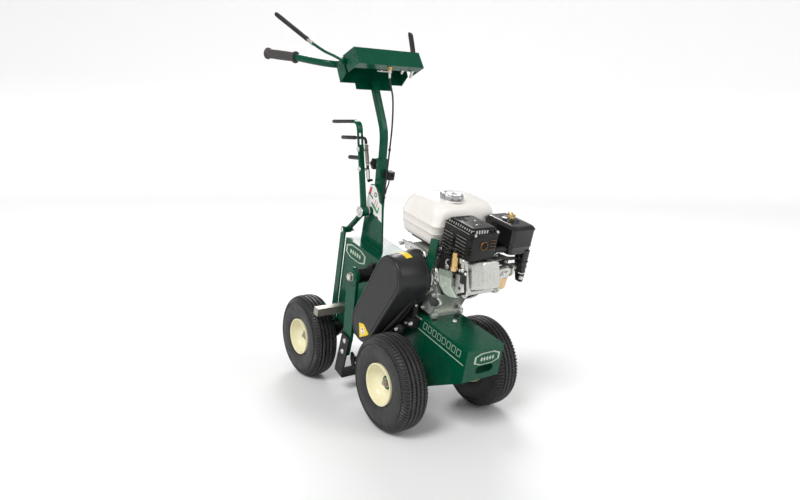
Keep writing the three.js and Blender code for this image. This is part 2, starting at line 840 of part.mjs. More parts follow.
const GRIP_REACH = 148;
const leverEnd = [
  LEVER_TOP[0] - GRIP_REACH * Math.cos(PITCH),
  LEVER_TOP[1] - GRIP_REACH * Math.sin(PITCH),
];
const slotDir = new THREE.Vector2(
  LEVER_TOP[0] - LEVER_PIVOT[0],
  LEVER_TOP[1] - LEVER_PIVOT[1],
).normalize();
const upLever = (s) => [LEVER_PIVOT[0] + slotDir.x * s, LEVER_PIVOT[1] + slotDir.y * s];
const RELEASE_Y = -51;
const leverPath = flatPath([CRANK_PIN, LEVER_PIVOT, LEVER_TOP, leverEnd], 26, 4);
const [stubX, stubZ] = upLever(167);
const fingerStub = rod([stubX, RELEASE_Y, stubZ], [stubX - 66, RELEASE_Y, stubZ - 15], 5, 10);
add(
  "depth_lever",
  "green",
  cut(
    joined(
      strip("xz", leverPath, LEVER_T, ...LEVER_Y),
      crossRod(LEVER_PIVOT, ...LEVER_Y, 15, 20),
      crossRod(CRANK_PIN, ...LEVER_Y, 10, 16),
      fingerStub,
    ),
    crossRod(LEVER_PIVOT, -80, 0, 6 + GAP, 16),
    crossRod(CRANK_PIN, -80, 0, LINK_STUD_R + GAP, 12),
    strip("xz", [upLever(208), upLever(244)], 60, -56, -46),
  ),
);
const releaseAt = (s, off, y) => {
  const [x, z] = upLever(s);
  return [x + slotDir.y * off, y, z - slotDir.x * off];
};
const hook = releaseAt(226, 32, RELEASE_Y);
const foot = releaseAt(97, 8, -33);
add(
  "release_rod",
  "black",
  joined(
    rod([hook[0] - 136, RELEASE_Y, hook[2] - 31], hook, 4.6, 10),
    rod([hook[0] - 1, RELEASE_Y, hook[2] + 4], foot, 4.6, 10),
    rod([foot[0], foot[1] - 3, foot[2]], [foot[0], -19, foot[2]], 4, 10),
  ),
);
add(
  "depth_link",
  "green",
  cut(
    joined(
      slab("xz", capsule(CRANK_PIN, 12, LINK_FOOT, 14, 8), -70, -64.2),
      crossRod(CRANK_PIN, -73, -36, LINK_STUD_R, 12),
    ),
    crossRod(LINK_FOOT, -80, -55, LINK_HOLE_R, 20),
  ),
);

const coverSection = [
  [-470, 837],
  [-431, 796],
  [-456, 780],
  [-485, 762],
  [-527, 803],
];
const coverHollow = [
  [-470.5, 832],
  [-437, 797],
  [-455, 785.6],
  [-485, 720],
  [-560, 780],
  [-523, 801],
];
add(
  "control_cover",
  "green",
  cut(
    slab("xz", coverSection, -CONTROL_HALF_W, CONTROL_HALF_W),
    slab("xz", coverHollow, -CONTROL_HALF_W + 3, CONTROL_HALF_W - 3),
    rod([-440, 0, 800], [-452, 0, 770], 5, 12),
  ),
);
const TRAY_HALF_W = CONTROL_HALF_W - 3 - GAP;
const TRAY_SHEET = 2.8;
const trayEnd = [
  [-567, 772],
  [-531, 796],
  [-503, 757],
  [-530, 722],
];
const trayPath = [
  [-529, 723.5],
  [-565.5, 773],
  [-532, 796.8],
];
const trayLobe = [
  [-533, 729],
  [-518, 707],
];
const mastTip = [MAST_TOP[0] - 8, MAST_TOP[1] + 11.5];
add(
  "control_tray",
  "green",
  cut(
    joined(
      strip("xz", trayPath, TRAY_SHEET, -TRAY_HALF_W, TRAY_HALF_W),
      slab("xz", trayEnd, -TRAY_HALF_W, -TRAY_HALF_W + 3),
      slab("xz", trayEnd, TRAY_HALF_W - 3, TRAY_HALF_W),
      strip("xz", trayLobe, TRAY_SHEET, -62, 70),
    ),
    strip("xz", [MAST_BEND, mastTip], MAST_W + 1, -MAST_W / 2 - 0.5, MAST_W / 2 + 0.5),
  ),
);

const TUBE_R = 11;
const barPath = [
  [-716, -174, 765],
  [-650, -150, 766],
  [-596, -122, 768],
  [-583, -80, 769],
  [-583, 0, 769],
  [-583, 80, 769],
  [-596, 122, 768],
  [-650, 150, 766],
  [-716, 174, 765],
];
add("handlebar", "green", swept(barPath, circle([0, 0], TUBE_R, 10), 20));
for (const [side, sign] of [["left", 1], ["right", -1]]) {
  const near = [-717, sign * 174.4, 765];
  const far = [-838, sign * 219, 757];
  const at = (t) => between(near, far, t);
  add(
    "grip_" + side,
    "rubber",
    joined(
      rod(at(0), at(1), 14, 16),
      rod(at(0), at(0.06), 19, 16),
      rod(at(0.94), at(1), 19, 16),
    ),
  );
}

const LEVER_AXLE = [-508, 788];
const LEVER_HUB_Y = [119.5, 134];
function handLever(name, sign, path, halfWidth, halfThickness) {
  const section = [
    [-halfWidth, -halfThickness],
    [halfWidth, -halfThickness],
    [halfWidth, halfThickness],
    [-halfWidth, halfThickness],
  ];
  const hub = crossRod(LEVER_AXLE, sign * LEVER_HUB_Y[0], sign * LEVER_HUB_Y[1], 9, 12);
  add(name, "black", joined(hub, swept(path, section, 10)));
}
const clutchPath = [
  [-508, -127, 790],
  [-560, -129, 797],
  [-610, -136, 803],
  [-671, -150, 819],
  [-826, -207, 885],
];
const throttlePath = [
  [-508, 130, 790],
  [-520, 134, 826],
  [-545, 140, 860],
  [-574, 150, 887],
];
handLever("clutch_lever", -1, clutchPath, 4.5, 6.5);
handLever("throttle_lever", 1, throttlePath, 9.5, 2.5);

// Control cable, from the cover's fitting down the mast into the rear box.
const cablePath = [
  [-446, 0, 784],
  [-441, 0, 765],
  [-424, -1, 737],
  [-402, -2, 699],
  [-386, -3, 627],
  [-381, -3, 551],
  [-378, -3, 470],
  [-375, -3, 391],
  [-366, -2, 320],
  [-360, 0, BOX_TOP_Z + GAP],
];
add("control_cable", "black", swept(cablePath, circle([0, 0], 2.6, 8), 24));

export default machine;
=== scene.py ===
"""Looks of the walk-behind sod cutter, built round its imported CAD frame.

Shapes are drawn in millimetres in the chassis frame: the origin is the front axle, +X points
forward along the chassis, +Y to the operator's left, +Z square to the deck. CHASSIS turns that
frame into the row frame, in metres.
"""

import json
import math

import bmesh
import bpy
from mathutils import Matrix, Vector


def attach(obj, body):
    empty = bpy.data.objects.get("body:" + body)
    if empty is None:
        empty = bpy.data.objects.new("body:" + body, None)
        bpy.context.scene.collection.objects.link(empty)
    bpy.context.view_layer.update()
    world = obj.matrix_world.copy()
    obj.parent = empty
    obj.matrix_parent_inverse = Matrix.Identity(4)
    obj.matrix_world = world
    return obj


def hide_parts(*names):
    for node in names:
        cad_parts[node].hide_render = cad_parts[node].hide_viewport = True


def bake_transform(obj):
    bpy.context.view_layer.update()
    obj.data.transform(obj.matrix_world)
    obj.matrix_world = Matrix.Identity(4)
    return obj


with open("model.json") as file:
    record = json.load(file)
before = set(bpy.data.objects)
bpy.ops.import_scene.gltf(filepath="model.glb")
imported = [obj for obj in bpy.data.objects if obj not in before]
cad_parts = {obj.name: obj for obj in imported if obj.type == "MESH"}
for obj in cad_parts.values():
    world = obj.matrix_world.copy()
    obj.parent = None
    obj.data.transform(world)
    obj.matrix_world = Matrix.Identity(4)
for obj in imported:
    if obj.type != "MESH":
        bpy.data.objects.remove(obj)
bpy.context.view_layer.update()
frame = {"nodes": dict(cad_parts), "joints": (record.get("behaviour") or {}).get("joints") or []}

# ---------- the chassis frame, from the joints ----------
JOINTS = {j["name"]: j for j in frame["joints"]}
ORIGIN = Vector(JOINTS["front_wheel_roll"]["pos_m"])
UP = Vector(JOINTS["fuel_cap_turn"]["axis"]).normalized()
FORWARD = Vector((UP.z, 0, -UP.x))
MM = 0.001
CHASSIS = Matrix(
    (
        (FORWARD.x * MM, 0, UP.x * MM, ORIGIN.x),
        (0, MM, 0, ORIGIN.y),
        (FORWARD.z * MM, 0, UP.z * MM, ORIGIN.z),
        (0, 0, 0, 1),
    )
)
TO_CHASSIS = CHASSIS.inverted()
X, Y, Z = Vector((1, 0, 0)), Vector((0, 1, 0)), Vector((0, 0, 1))
TAU = 2 * math.pi


def extent(node):
    """Lowest and highest corner of a CAD node in the chassis frame, in millimetres."""
    points = [TO_CHASSIS @ v.co for v in frame["nodes"][node].data.vertices]
    low = Vector(map(min, zip(*points)))
    high = Vector(map(max, zip(*points)))
    return low, high


def centre(node):
    """The middle of a CAD node in the chassis frame."""
    low, high = extent(node)
    return (low + high) / 2


def pivot(joint):
    """A joint's place in the chassis frame."""
    return TO_CHASSIS @ Vector(JOINTS[joint]["pos_m"])


BEVEL_ANGLE = math.radians(28)


# ---------- shapes ----------
def basis(axis):
    """Two unit vectors square to an axis and to each other."""
    a = Vector(axis).normalized()
    side = a.cross(Z if abs(a.z) < 0.9 else X).normalized()
    return side, a.cross(side)


def ring(at, axis, radius, sides, start=0.0):
    """Points evenly round an axis, the first of them at the angle start."""
    side, other = basis(axis)
    turns = [start + TAU * i / sides for i in range(sides)]
    return [Vector(at) + radius * (math.cos(t) * side + math.sin(t) * other) for t in turns]


def uneven_ring(at, axis, radii):
    """A ring with a radius of its own for each point."""
    at = Vector(at)
    return [at + (p - at) * r for p, r in zip(ring(at, axis, 1, len(radii)), radii)]


def smooth_path(points, steps=6):
    """A curve through the points, as a list of points close together."""
    p = [Vector(q) for q in points]
    p = [2 * p[0] - p[1]] + p + [2 * p[-1] - p[-2]]
    out = []
    for a, b, c, d in zip(p, p[1:], p[2:], p[3:]):
        for k in range(steps):
            t = k / steps
            squared, cubed = 2 * a - 5 * b + 4 * c - d, 3 * b - a - 3 * c + d
            out.append(0.5 * (2 * b + (c - a) * t + squared * t**2 + cubed * t**3))
    out.append(p[-2])
    return out


def bent_path(points, radius, steps=5):
    """A polyline with each corner rounded."""
    p = [Vector(q) for q in points]
    out = [p[0]]
    for a, b, c in zip(p, p[1:], p[2:]):
        before, after = a - b, c - b
        reach = min(radius, before.length / 2.1, after.length / 2.1)
        start, end = b + before.normalized() * reach, b + after.normalized() * reach
        for k in range(steps + 1):
            t = k / steps
            out.append((1 - t) ** 2 * start + 2 * t * (1 - t) * b + t * t * end)
    out.append(p[-1])
    return out


def rounded(width, height, radius, steps=4):
    """A rectangle's outline with round corners, centred on 0."""
    out = []
    for quarter, (sx, sy) in enumerate(((1, 1), (-1, 1), (-1, -1), (1, -1))):
        for k in range(steps + 1):
            t = (quarter + k / steps) * math.pi / 2
            x = sx * (width / 2 - radius) + radius * math.cos(t)
            y = sy * (height / 2 - radius) + radius * math.sin(t)
            out.append((x, y))
    return out


class Shape:
    """Vertices and faces, gathered from skins over rings of points."""

    def __init__(self):
        self.points = []
        self.faces = []

    def skin(self, rings, loop=False):
        """A skin over rings with the same number of points, closed into a loop or capped at both ends."""
        n = len(rings[0])
        first = len(self.points)
        self.points += [Vector(p) for r in rings for p in r]
        count = len(rings)
        for r in range(count if loop else count - 1):
            here, there = first + r * n, first + ((r + 1) % count) * n
            for i in range(n):
                j = (i + 1) % n
                self.faces.append((here + i, here + j, there + j, there + i))
        if not loop:
            self.faces.append(tuple(first + i for i in reversed(range(n))))
            self.faces.append(tuple(first + (count - 1) * n + i for i in range(n)))
        return self

    def turned(self, at, axis, profile, sides=48, loop=False):
        """A solid of revolution from (radius, distance along the axis) pairs."""
        a = Vector(axis).normalized()
        at = Vector(at)
        return self.skin([ring(at + a * h, a, max(r, 0.01), sides) for r, h in profile], loop)

    def sweep(self, path, section, up=Z, scale=None):
        """A section, as (across, up) pairs, carried along a path."""
        path = [Vector(p) for p in path]
        rings = []
        lift = Vector(up)
        for i, p in enumerate(path):
            before = path[i - 1] if i else p
            after = path[i + 1] if i + 1 < len(path) else p
            ahead = (after - before).normalized()
            lift = (lift - ahead * lift.dot(ahead)).normalized()
            across = ahead.cross(lift)
            k = scale[i] if scale else 1
            rings.append([p + across * (u * k) + lift * (v * k) for u, v in section])
        return self.skin(rings)

    def tube(self, path, radius, sides=14, scale=None):
        """A round bar along a path, its radius times scale at each point."""
        turns = [TAU * i / sides for i in range(sides)]
        section = [(radius * math.cos(t), radius * math.sin(t)) for t in turns]
        ahead = (Vector(path[1]) - Vector(path[0])).normalized()
        return self.sweep(path, section, basis(ahead)[0], scale)

    def hose(self, points, radius, sides, steps=6):
        """A round bar along a smooth curve through a few points."""
        return self.tube(smooth_path(points, steps), radius, sides)

    def coil(self, start, end, turns, steps, radius, wire, sides):
        """A helical spring from start to end."""
        side, other = basis(end - start)
        path = []
        for k in range(steps + 1):
            share = k / steps
            t = TAU * turns * share
            path.append(start.lerp(end, share) + radius * (math.cos(t) * side + math.sin(t) * other))
        return self.tube(path, wire, sides)

    def slab(self, outline, low, high, plane="xz"):
        """A flat outline in a plane, thickened from low to high."""
        place = {
            "xz": lambda u, v, w: Vector((u, w, v)),
            "yz": lambda u, v, w: Vector((w, u, v)),
            "xy": lambda u, v, w: Vector((u, v, w)),
        }[plane]
        return self.skin([[place(u, v, w) for u, v in outline] for w in (low, high)])

    def box(self, low, high):
        """A block between two opposite corners."""
        corners = [(low[0], low[1]), (high[0], low[1]), (high[0], high[1]), (low[0], high[1])]
        return self.slab(corners, low[2], high[2], "xy")

    def bolt(self, at, axis, across=13.0, head=5.5, washer=1.6):
        """A flanged hex head."""
        a = Vector(axis).normalized()
        at = Vector(at)
        r = across / math.sqrt(3)
        self.turned(at, a, [(r * 1.12, -0.5), (r * 1.12, washer * 0.7), (r * 1.04, washer)], 28)
        heights = [(r, washer - 0.4), (r, washer + head * 0.82), (r * 0.86, washer + head)]
        self.skin([ring(at + a * h, a, k, 6) for k, h in heights])
        return self

    def dome(self, at, axis, radius, height):
        """A round bolt head."""
        steps = [i / 5 for i in range(6)]
        profile = [(radius, -0.5)]
        profile += [(radius * math.cos(t * 1.5), height * math.sin(t * 1.5)) for t in steps]
        return self.turned(at, axis, profile, 24)

    def add(self, other):
        """Takes in another shape's vertices and faces."""
        first = len(self.points)
        self.points += other.points
        self.faces += [tuple(first + i for i in f) for f in other.faces]
        return self


def piece(
    name, shape, look, body="chassis", bevel=0.0, sharp=32, replaces=(), steps=2, place=CHASSIS
):
    """Makes a shape into a piece in a look, riding on a CAD body unless body is None.

    Edges steeper than BEVEL_ANGLE are cut back by bevel millimetres; sharp is the angle in degrees
    above which shading breaks.
    """
    bm = bmesh.new()
    verts = [bm.verts.new(p) for p in shape.points]
    for f in shape.faces:
        bm.faces.new([verts[i] for i in f])
    bmesh.ops.recalc_face_normals(bm, faces=bm.faces)
    if bevel:
        edges = [e for e in bm.edges if e.is_manifold and e.calc_face_angle() > BEVEL_ANGLE]
        bmesh.ops.bevel(
            bm, geom=edges, offset=bevel, segments=steps, profile=0.6, affect="EDGES", clamp_overlap=True
        )
    bmesh.ops.transform(bm, matrix=place, verts=bm.verts)
    mesh = bpy.data.meshes.new(name)
    bm.to_mesh(mesh)
    bm.free()
    mesh.materials.append(look)
    mesh.shade_smooth()
    mesh.set_sharp_from_angle(angle=math.radians(sharp))
    made = bpy.data.objects.new(name, mesh)
    bpy.context.scene.collection.objects.link(made)
    if bevel:
        even_normals(made)
    if body:
        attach(made, body)
    if replaces:
        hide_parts(*replaces)
    return made


def even_normals(made):
    """Keeps large faces flat next to rounded edges."""
    shading = made.modifiers.new("even normals", "WEIGHTED_NORMAL")
    shading.keep_sharp = True


def finish_node(node, look, width, steps):
    """Gives a CAD node its material, and rounds its edges by a width in millimetres."""
    made = frame["nodes"][node]
    made.data.materials.clear()
    made.data.materials.append(look)
    made.data.shade_smooth()
    weld = made.modifiers.new("weld", "WELD")
    weld.merge_threshold = 0.00002
    flat = made.modifiers.new("flat faces", "DECIMATE")
    flat.decimate_type = "DISSOLVE"
    flat.angle_limit = math.radians(1)
    bevel = made.modifiers.new("soft edges", "BEVEL")
    bevel.width = width * MM
    bevel.segments = steps
    bevel.limit_method = "ANGLE"
    bevel.angle_limit = BEVEL_ANGLE
    even_normals(made)


# ---------- materials ----------
class Look:
    """A node material whose textures sit in the object's own space."""

    def __init__(self, name, colour, rough, metal=0.0, **constants):
        self.material = bpy.data.materials.new(name)
        self.material.use_nodes = True
        self.tree = self.material.node_tree
        self.shader = self.tree.nodes["Principled BSDF"]
        self.space = self.node("ShaderNodeTexCoord").outputs["Object"]
        self.colour = (*colour, 1)
        self.put(self.shader.inputs["Base Color"], self.colour)
        self.put(self.shader.inputs["Roughness"], rough)
        self.put(self.shader.inputs["Metallic"], metal)
        for socket, value in constants.items():
            self.put(self.shader.inputs[socket.replace("_", " ")], value)

    def node(self, kind, inputs=None, **settings):
        """A new node with its settings, its inputs linked or set."""
        made = self.tree.nodes.new(kind)
        for key, value in settings.items():
            setattr(made, key, value)
        for key, value in (inputs or {}).items():
            self.put(made.inputs[key], value)
        return made

    def put(self, socket, value):
        """Links a socket to another, or sets its constant."""
        if isinstance(value, bpy.types.NodeSocket):
            self.tree.links.new(value, socket)
        else:
            socket.default_value = value

    def noise(self, scale, detail=3.0, stretch=(1, 1, 1)):
        """Noise of so many features to the metre, stretched along the axes."""
        space = self.node("ShaderNodeMapping", {"Vector": self.space, "Scale": stretch}).outputs[0]
        inputs = {"Vector": space, "Scale": scale, "Detail": detail}
        return self.node("ShaderNodeTexNoise", inputs).outputs[0]

    def spread(self, value, low, high, to_low=0.0, to_high=1.0):
        """A value between low and high, mapped to lie between to_low and to_high."""
        inputs = {"Value": value, "From Min": low, "From Max": high, "To Min": to_low, "To Max": to_high}
        return self.node("ShaderNodeMapRange", inputs).outputs[0]

    def times(self, a, b):
        """The product of two values."""
        return self.node("ShaderNodeMath", {0: a, 1: b}, operation="MULTIPLY").outputs[0]

    def tint(self, share, colour):
        """Blends the base colour towards another where share is high."""
        made = self.node("ShaderNodeMix", data_type="RGBA")
        self.put(made.inputs[0], share)
        self.put(made.inputs[6], self.colour)
        self.put(made.inputs[7], colour if isinstance(colour, bpy.types.NodeSocket) else (*colour, 1))
        self.colour = made.outputs[2]
        self.put(self.shader.inputs["Base Color"], self.colour)

    def stain(self, scale, detail, low, high, share, colour):
        """Tints up to a share where a noise rises from low to high."""
        self.tint(self.spread(self.noise(scale, detail), low, high, 0, share), colour)

    def roughness(self, value, low, high):
        """Roughness between low and high, as a noise says."""
        self.put(self.shader.inputs["Roughness"], self.spread(value, 0.3, 0.7, low, high))

    def bump(self, value, depth_mm, strength=1.0):
        """Relief from a noise, over whatever relief is there already."""
        before = self.shader.inputs["Normal"].links
        inputs = {"Height": value, "Distance": depth_mm * MM, "Strength": strength}
        made = self.node("ShaderNodeBump", inputs)
        if before:
            self.put(made.inputs["Normal"], before[0].from_socket)
        self.put(self.shader.inputs["Normal"], made.outputs[0])

    def edges(self, radius_mm):
        """1 on sharp edges, 0 on open faces."""
        rounded_normal = self.node("ShaderNodeBevel", {"Radius": radius_mm * MM}, samples=4).outputs[0]
        plain = self.node("ShaderNodeNewGeometry").outputs["Normal"]
        dot = self.node("ShaderNodeVectorMath", {0: rounded_normal, 1: plain}, operation="DOT_PRODUCT")
        return self.spread(dot.outputs["Value"], 0.97, 0.8)

    def upward(self):
        """1 on faces that look up, 0 on the others."""
        normal = self.node("ShaderNodeNewGeometry").outputs["Normal"]
        height = self.node("ShaderNodeSeparateXYZ", {0: normal}).outputs[2]
        return self.spread(height, 0.5, 1.0)

    def dust(self, scale, share, colour):
        """Tints up to a share, in patches, on faces that look up."""
        patches = self.times(self.upward(), self.spread(self.noise(scale, 6), 0.5, 0.8, 0, share))
        self.tint(patches, colour)

    def chips(self, radius_mm, scale, low, high, share, colour):
        """Tints up to a share, in spots, along sharp edges."""
        spots = self.times(self.edges(radius_mm), self.spread(self.noise(scale, 5), low, high, 0, share))
        self.tint(spots, colour)


def paint(name, colour, rough, coat, chip):
    """Sprayed enamel: orange peel, uneven gloss, thin dust and chipped edges."""
    look = Look(name, colour, rough, Coat_Weight=coat, Coat_Roughness=0.1, Specular_IOR_Level=0.12)
    look.stain(7, 4, 0.35, 0.75, 0.35, [c * 1.5 + 0.002 for c in colour])
    look.dust(60, 0.03, (0.3, 0.3, 0.27))
    look.chips(1.2, 210, 0.56, 0.64, 0.8, chip)
    look.roughness(look.noise(24, 5), rough * 0.75, rough * 1.35)
    look.bump(look.noise(520, 2), 0.05, 0.5)
    return look.material


def bare_metal(name, colour, rough, grain=(1, 1, 1), dull=0.35):
    """Bright or bare metal with a drawn grain, stains and fine scratches."""
    look = Look(name, colour, rough, 0.95)
    look.stain(26, 6, 0.4, 0.75, dull, [c * 0.55 for c in colour])
    look.stain(330, 4, 0.6, 0.75, dull, [c * 0.7 for c in colour])
    look.roughness(look.noise(90, 6, grain), rough * 0.7, rough * 1.5)
    look.bump(look.noise(700, 3, grain), 0.04, 0.6)
    return look.material


def casting(name, colour, rough, metal, grit=0.22):
    """Cast aluminium: sandy skin and dark oil stains in patches."""
    look = Look(name, colour, rough, metal)
    look.stain(14, 5, 0.42, 0.75, 0.4, [c * 0.6 for c in colour])
    look.stain(160, 5, 0.55, 0.75, 0.35, [c * 0.45 for c in colour])
    look.roughness(look.noise(60, 5), rough * 0.8, min(1, rough * 1.3))
    look.bump(look.noise(380, 6), grit, 0.7)
    return look.material


def moulded(name, colour, rough, grain=0.06, coat=0.0, scale=900):
    """Moulded plastic or rubber with a fine grained skin."""
    look = Look(name, colour, rough, Coat_Weight=coat, Coat_Roughness=0.12, Specular_IOR_Level=0.3)
    look.stain(9, 4, 0.4, 0.8, 0.3, [c * 1.35 + 0.003 for c in colour])
    look.dust(75, 0.08, (0.4, 0.39, 0.36))
    look.roughness(look.noise(40, 5), rough * 0.8, min(1, rough * 1.25))
    look.bump(look.noise(scale, 3), grain, 0.6)
    return look.material


def tyre_rubber():
    """Black rubber, greyer and duller where it scuffs, with faint bloom on the side walls."""
    colour = (0.016, 0.016, 0.0165)
    look = Look("tyre rubber", colour, 0.5, Specular_IOR_Level=0.5)
    look.stain(16, 6, 0.4, 0.75, 0.5, (0.03, 0.0295, 0.029))
    look.stain(240, 5, 0.58, 0.8, 0.4, (0.05, 0.048, 0.045))
    look.roughness(look.noise(50, 5), 0.38, 0.6)
    look.bump(look.noise(850, 4), 0.09, 0.6)
    return look.material


def heated_black():
    """Stove-enamelled steel, browned where the exhaust heats it."""
    thin_coat = {"Coat_Weight": 0.1, "Coat_Roughness": 0.1, "Specular_IOR_Level": 0.2}
    look = Look("stove black", (0.006, 0.006, 0.006), 0.3, **thin_coat)
    look.stain(18, 5, 0.52, 0.8, 0.4, (0.02, 0.014, 0.01))
    look.chips(0.8, 180, 0.5, 0.62, 0.5, (0.3, 0.28, 0.25))
    look.roughness(look.noise(70, 5), 0.24, 0.46)
    look.bump(look.noise(600, 4), 0.05, 0.6)
    return look.material


GREEN = paint("green enamel", (0.0005, 0.064, 0.032), 0.24, 0.2, (0.16, 0.2, 0.17))
BLACK = paint("black enamel", (0.011, 0.011, 0.012), 0.36, 0.2, (0.2, 0.19, 0.18))
CREAM = paint("cream enamel", (0.76, 0.71, 0.48), 0.26, 0.5, (0.5, 0.42, 0.28))
RUBBER = tyre_rubber()
STEEL = bare_metal("bare steel", (0.43, 0.41, 0.36), 0.4, (1, 0.06, 1), 0.6)
ZINC = bare_metal("zinc plate", (0.72, 0.72, 0.7), 0.27, dull=0.3)
CHROME = bare_metal("polished alloy", (0.66, 0.66, 0.64), 0.24, dull=0.2)
SATIN = bare_metal("satin alloy", (0.62, 0.63, 0.59), 0.3, dull=0.08)
BRASS = bare_metal("yellow brass", (0.72, 0.5, 0.2), 0.26, dull=0.4)
COPPER = bare_metal("passivated bowl", (0.8, 0.56, 0.3), 0.25, dull=0.35)
TINTED = bare_metal("heat tinted steel", (0.26, 0.14, 0.06), 0.42, dull=0.5)
CAP_METAL = bare_metal("satin cap metal", (0.46, 0.46, 0.47), 0.34, dull=0.4)
CAST = casting("sand casting", (0.72, 0.74, 0.69), 0.36, 0.8)
CASE = casting("painted casting", (0.54, 0.62, 0.52), 0.42, 0.25)
FINS = casting("black fins", (0.035, 0.035, 0.035), 0.5, 0.4)
TANK = moulded("white tank", (0.8, 0.765, 0.72), 0.24, 0.03, 0.5)
COVER = moulded("grey cover", (0.019, 0.0195, 0.021), 0.34, 0.08)
GLOSS = moulded("gloss black plastic", (0.01, 0.01, 0.01), 0.2, 0.03, 0.35)
MATTE = moulded("matte black plastic", (0.02, 0.02, 0.02), 0.5, 0.08)
GRIP = moulded("grip rubber", (0.062, 0.057, 0.055), 0.42, 0.14, scale=600)
DIPPED = moulded("dipped vinyl", (0.018, 0.018, 0.018), 0.36, 0.05)
STOVE = heated_black()
# HOLE_SHADE is painted shade: a near-black, dull look that stands for the dark inside holes and slots.
HOLE_SHADE = casting("hole_shade_look", (0.002, 0.002, 0.002), 0.95, 0.0, 0.1)
YELLOW = moulded("yellow label", (0.85, 0.6, 0.02), 0.3, 0.01)
WHITE = moulded("white label", (0.8, 0.8, 0.78), 0.32, 0.01)
RED = moulded("red ink", (0.55, 0.03, 0.03), 0.32, 0.01)
LEAF = moulded("green ink", (0.02, 0.3, 0.1), 0.32, 0.01)
INK = moulded("pale line", (0.42, 0.5, 0.4), 0.3, 0.01)
for usual_slot, looks in (
    ("green_paint", (GREEN, INK)),
    ("black_paint", (BLACK, TINTED, STOVE)),
    ("cream_paint", (CREAM,)),
    ("tyre_rubber", (RUBBER,)),
    ("bare_steel", (STEEL,)),
    ("bright_metal", (ZINC, CHROME, SATIN, CAP_METAL)),
    ("brass", (BRASS, COPPER)),
    ("casting", (CAST, CASE, FINS)),
    ("white_tank", (TANK,)),
    ("dark_cover", (COVER, GLOSS, HOLE_SHADE, YELLOW, WHITE, RED, LEAF)),
    ("black_rubber", (MATTE, GRIP, DIPPED)),
):
    dict.fromkeys(looks, usual_slot)


# ---------- CAD nodes that keep their own shape ----------
for kept_node, kept_look, edge_width, edge_steps in (
    ("front_axle", STEEL, 0.8, 2), ("rear_axle", STEEL, 0.8, 2), ("chassis_frame", GREEN, 2.6, 3),
    ("lift_bar", STEEL, 1.2, 2), ("rear_yoke", BLACK, 1.6, 3), ("blade_arm_left", GREEN, 2.0, 3),
    ("blade_arm_right", GREEN, 2.0, 3), ("shaft_housing_left", BLACK, 1.2, 2),
    ("shaft_housing_right", BLACK, 1.2, 2), ("rocker_lever", STEEL, 1.0, 2), ("pitman_rod", STEEL, 1.0, 2),
    ("sod_blade", BLACK, 1.1, 3), ("engine_crankshaft", STEEL, 0.8, 2), ("eccentric_shaft", STEEL, 0.8, 2),
    ("cover_bracket", GREEN, 1.2, 2), ("crankcase", CAST, 2.4, 3), ("cylinder", FINS, 0.7, 1),
    ("cylinder_head", FINS, 1.6, 2), ("oil_dipstick", MATTE, 0.8, 2), ("carburettor", SATIN, 1.4, 2),
    ("choke_lever", MATTE, 0.8, 2), ("recoil_handle", MATTE, 1.8, 3), ("depth_lever", GREEN, 1.8, 3),
    ("depth_link", GREEN, 1.0, 2), ("quadrant_plate", GREEN, 0.9, 2), ("mast_tube", GREEN, 3.2, 4),
    ("mast_socket", GREEN, 2.6, 4), ("stop_switch_box", MATTE, 1.6, 3), ("control_cover", GREEN, 1.5, 3),
    ("control_tray", GREEN, 1.0, 2),
):
    finish_node(kept_node, kept_look, edge_width, edge_steps)


# ---------- wheels ----------
TYRE_TURNS = 480
SHOULDER_BARS = 80
ZIGZAGS = 120
GROOVES = (-19.0, -6.5, 6.5, 19.0)
GROOVE_HALF_W = 1.9
GROOVE_SWING = 1.9
GROOVE_DEPTH = 5.0
TREAD_EDGE = 30.0
BAR_DEPTH = 4.2
BAR_DROP = 21.0
TREAD_STEP, WALL_STEP = 1.25, 4.0


def tyre_section(radius, half_width, bead):
    """Half of the outer profile, from the bead to the crown: (radius, distance from the middle)."""
    crown = 0.9963 * radius
    return [
        (bead, 0.74 * half_width),
        (bead + 3, 0.83 * half_width),
        (bead + 7, 0.86 * half_width),
        (bead + 10, 0.9 * half_width),
        (bead + 24, 0.985 * half_width),
        (bead + 40, 0.995 * half_width),
        (bead + 52, 0.955 * half_width),
        (bead + 60, 0.9 * half_width),
        (radius - 9, 0.825 * half_width),
        (radius - 5.2, 0.735 * half_width),
        (radius - 2.6, 0.61 * half_width),
        (crown, 0.42 * half_width),
        (radius, 0.2 * half_width),
        (radius, 0),
    ]


def fine_section(radius, half_width, bead):
    """The whole profile, resampled closely enough to carry the tread."""
    half = tyre_section(radius, half_width, bead)
    whole = half + [(r, -y) for r, y in reversed(half[:-1])]
    curve = smooth_path([(r, y, 0) for r, y in whole], 12)
    out, gone = [curve[0]], 0.0
    for a, b in zip(curve, curve[1:]):
        gone += (b - a).length
        on_tread = b.x > radius - BAR_DROP - 1
        if gone >= (TREAD_STEP if on_tread else WALL_STEP):
            out.append(b)
            gone = 0.0
    out.append(curve[-1])
    return [(p.x, p.y) for p in out]


def tread_depth(turn, y, low):
    """How far the rubber is cut back at an angle and a place across the tread."""
    side = abs(y)
    wave = abs(((turn * ZIGZAGS / TAU) % 1) - 0.5) * 4 - 1
    depth = 0.0
    for groove in GROOVES:
        off = abs(y - groove - wave * GROOVE_SWING) - GROOVE_HALF_W
        if off < 0.6:
            depth = GROOVE_DEPTH * min(1, (0.6 - off) / 0.8)
    if TREAD_EDGE - 5 < side and low < BAR_DROP:
        slant = turn * SHOULDER_BARS / TAU + side * 0.02
        cut = min(1, max(0, math.sin(slant * TAU) * 4 + 0.4))
        fade = min(1, (side - TREAD_EDGE + 5) / 1.5) * min(1, (BAR_DROP - low) / 3)
        depth = max(depth, BAR_DEPTH * cut * fade)
    return depth


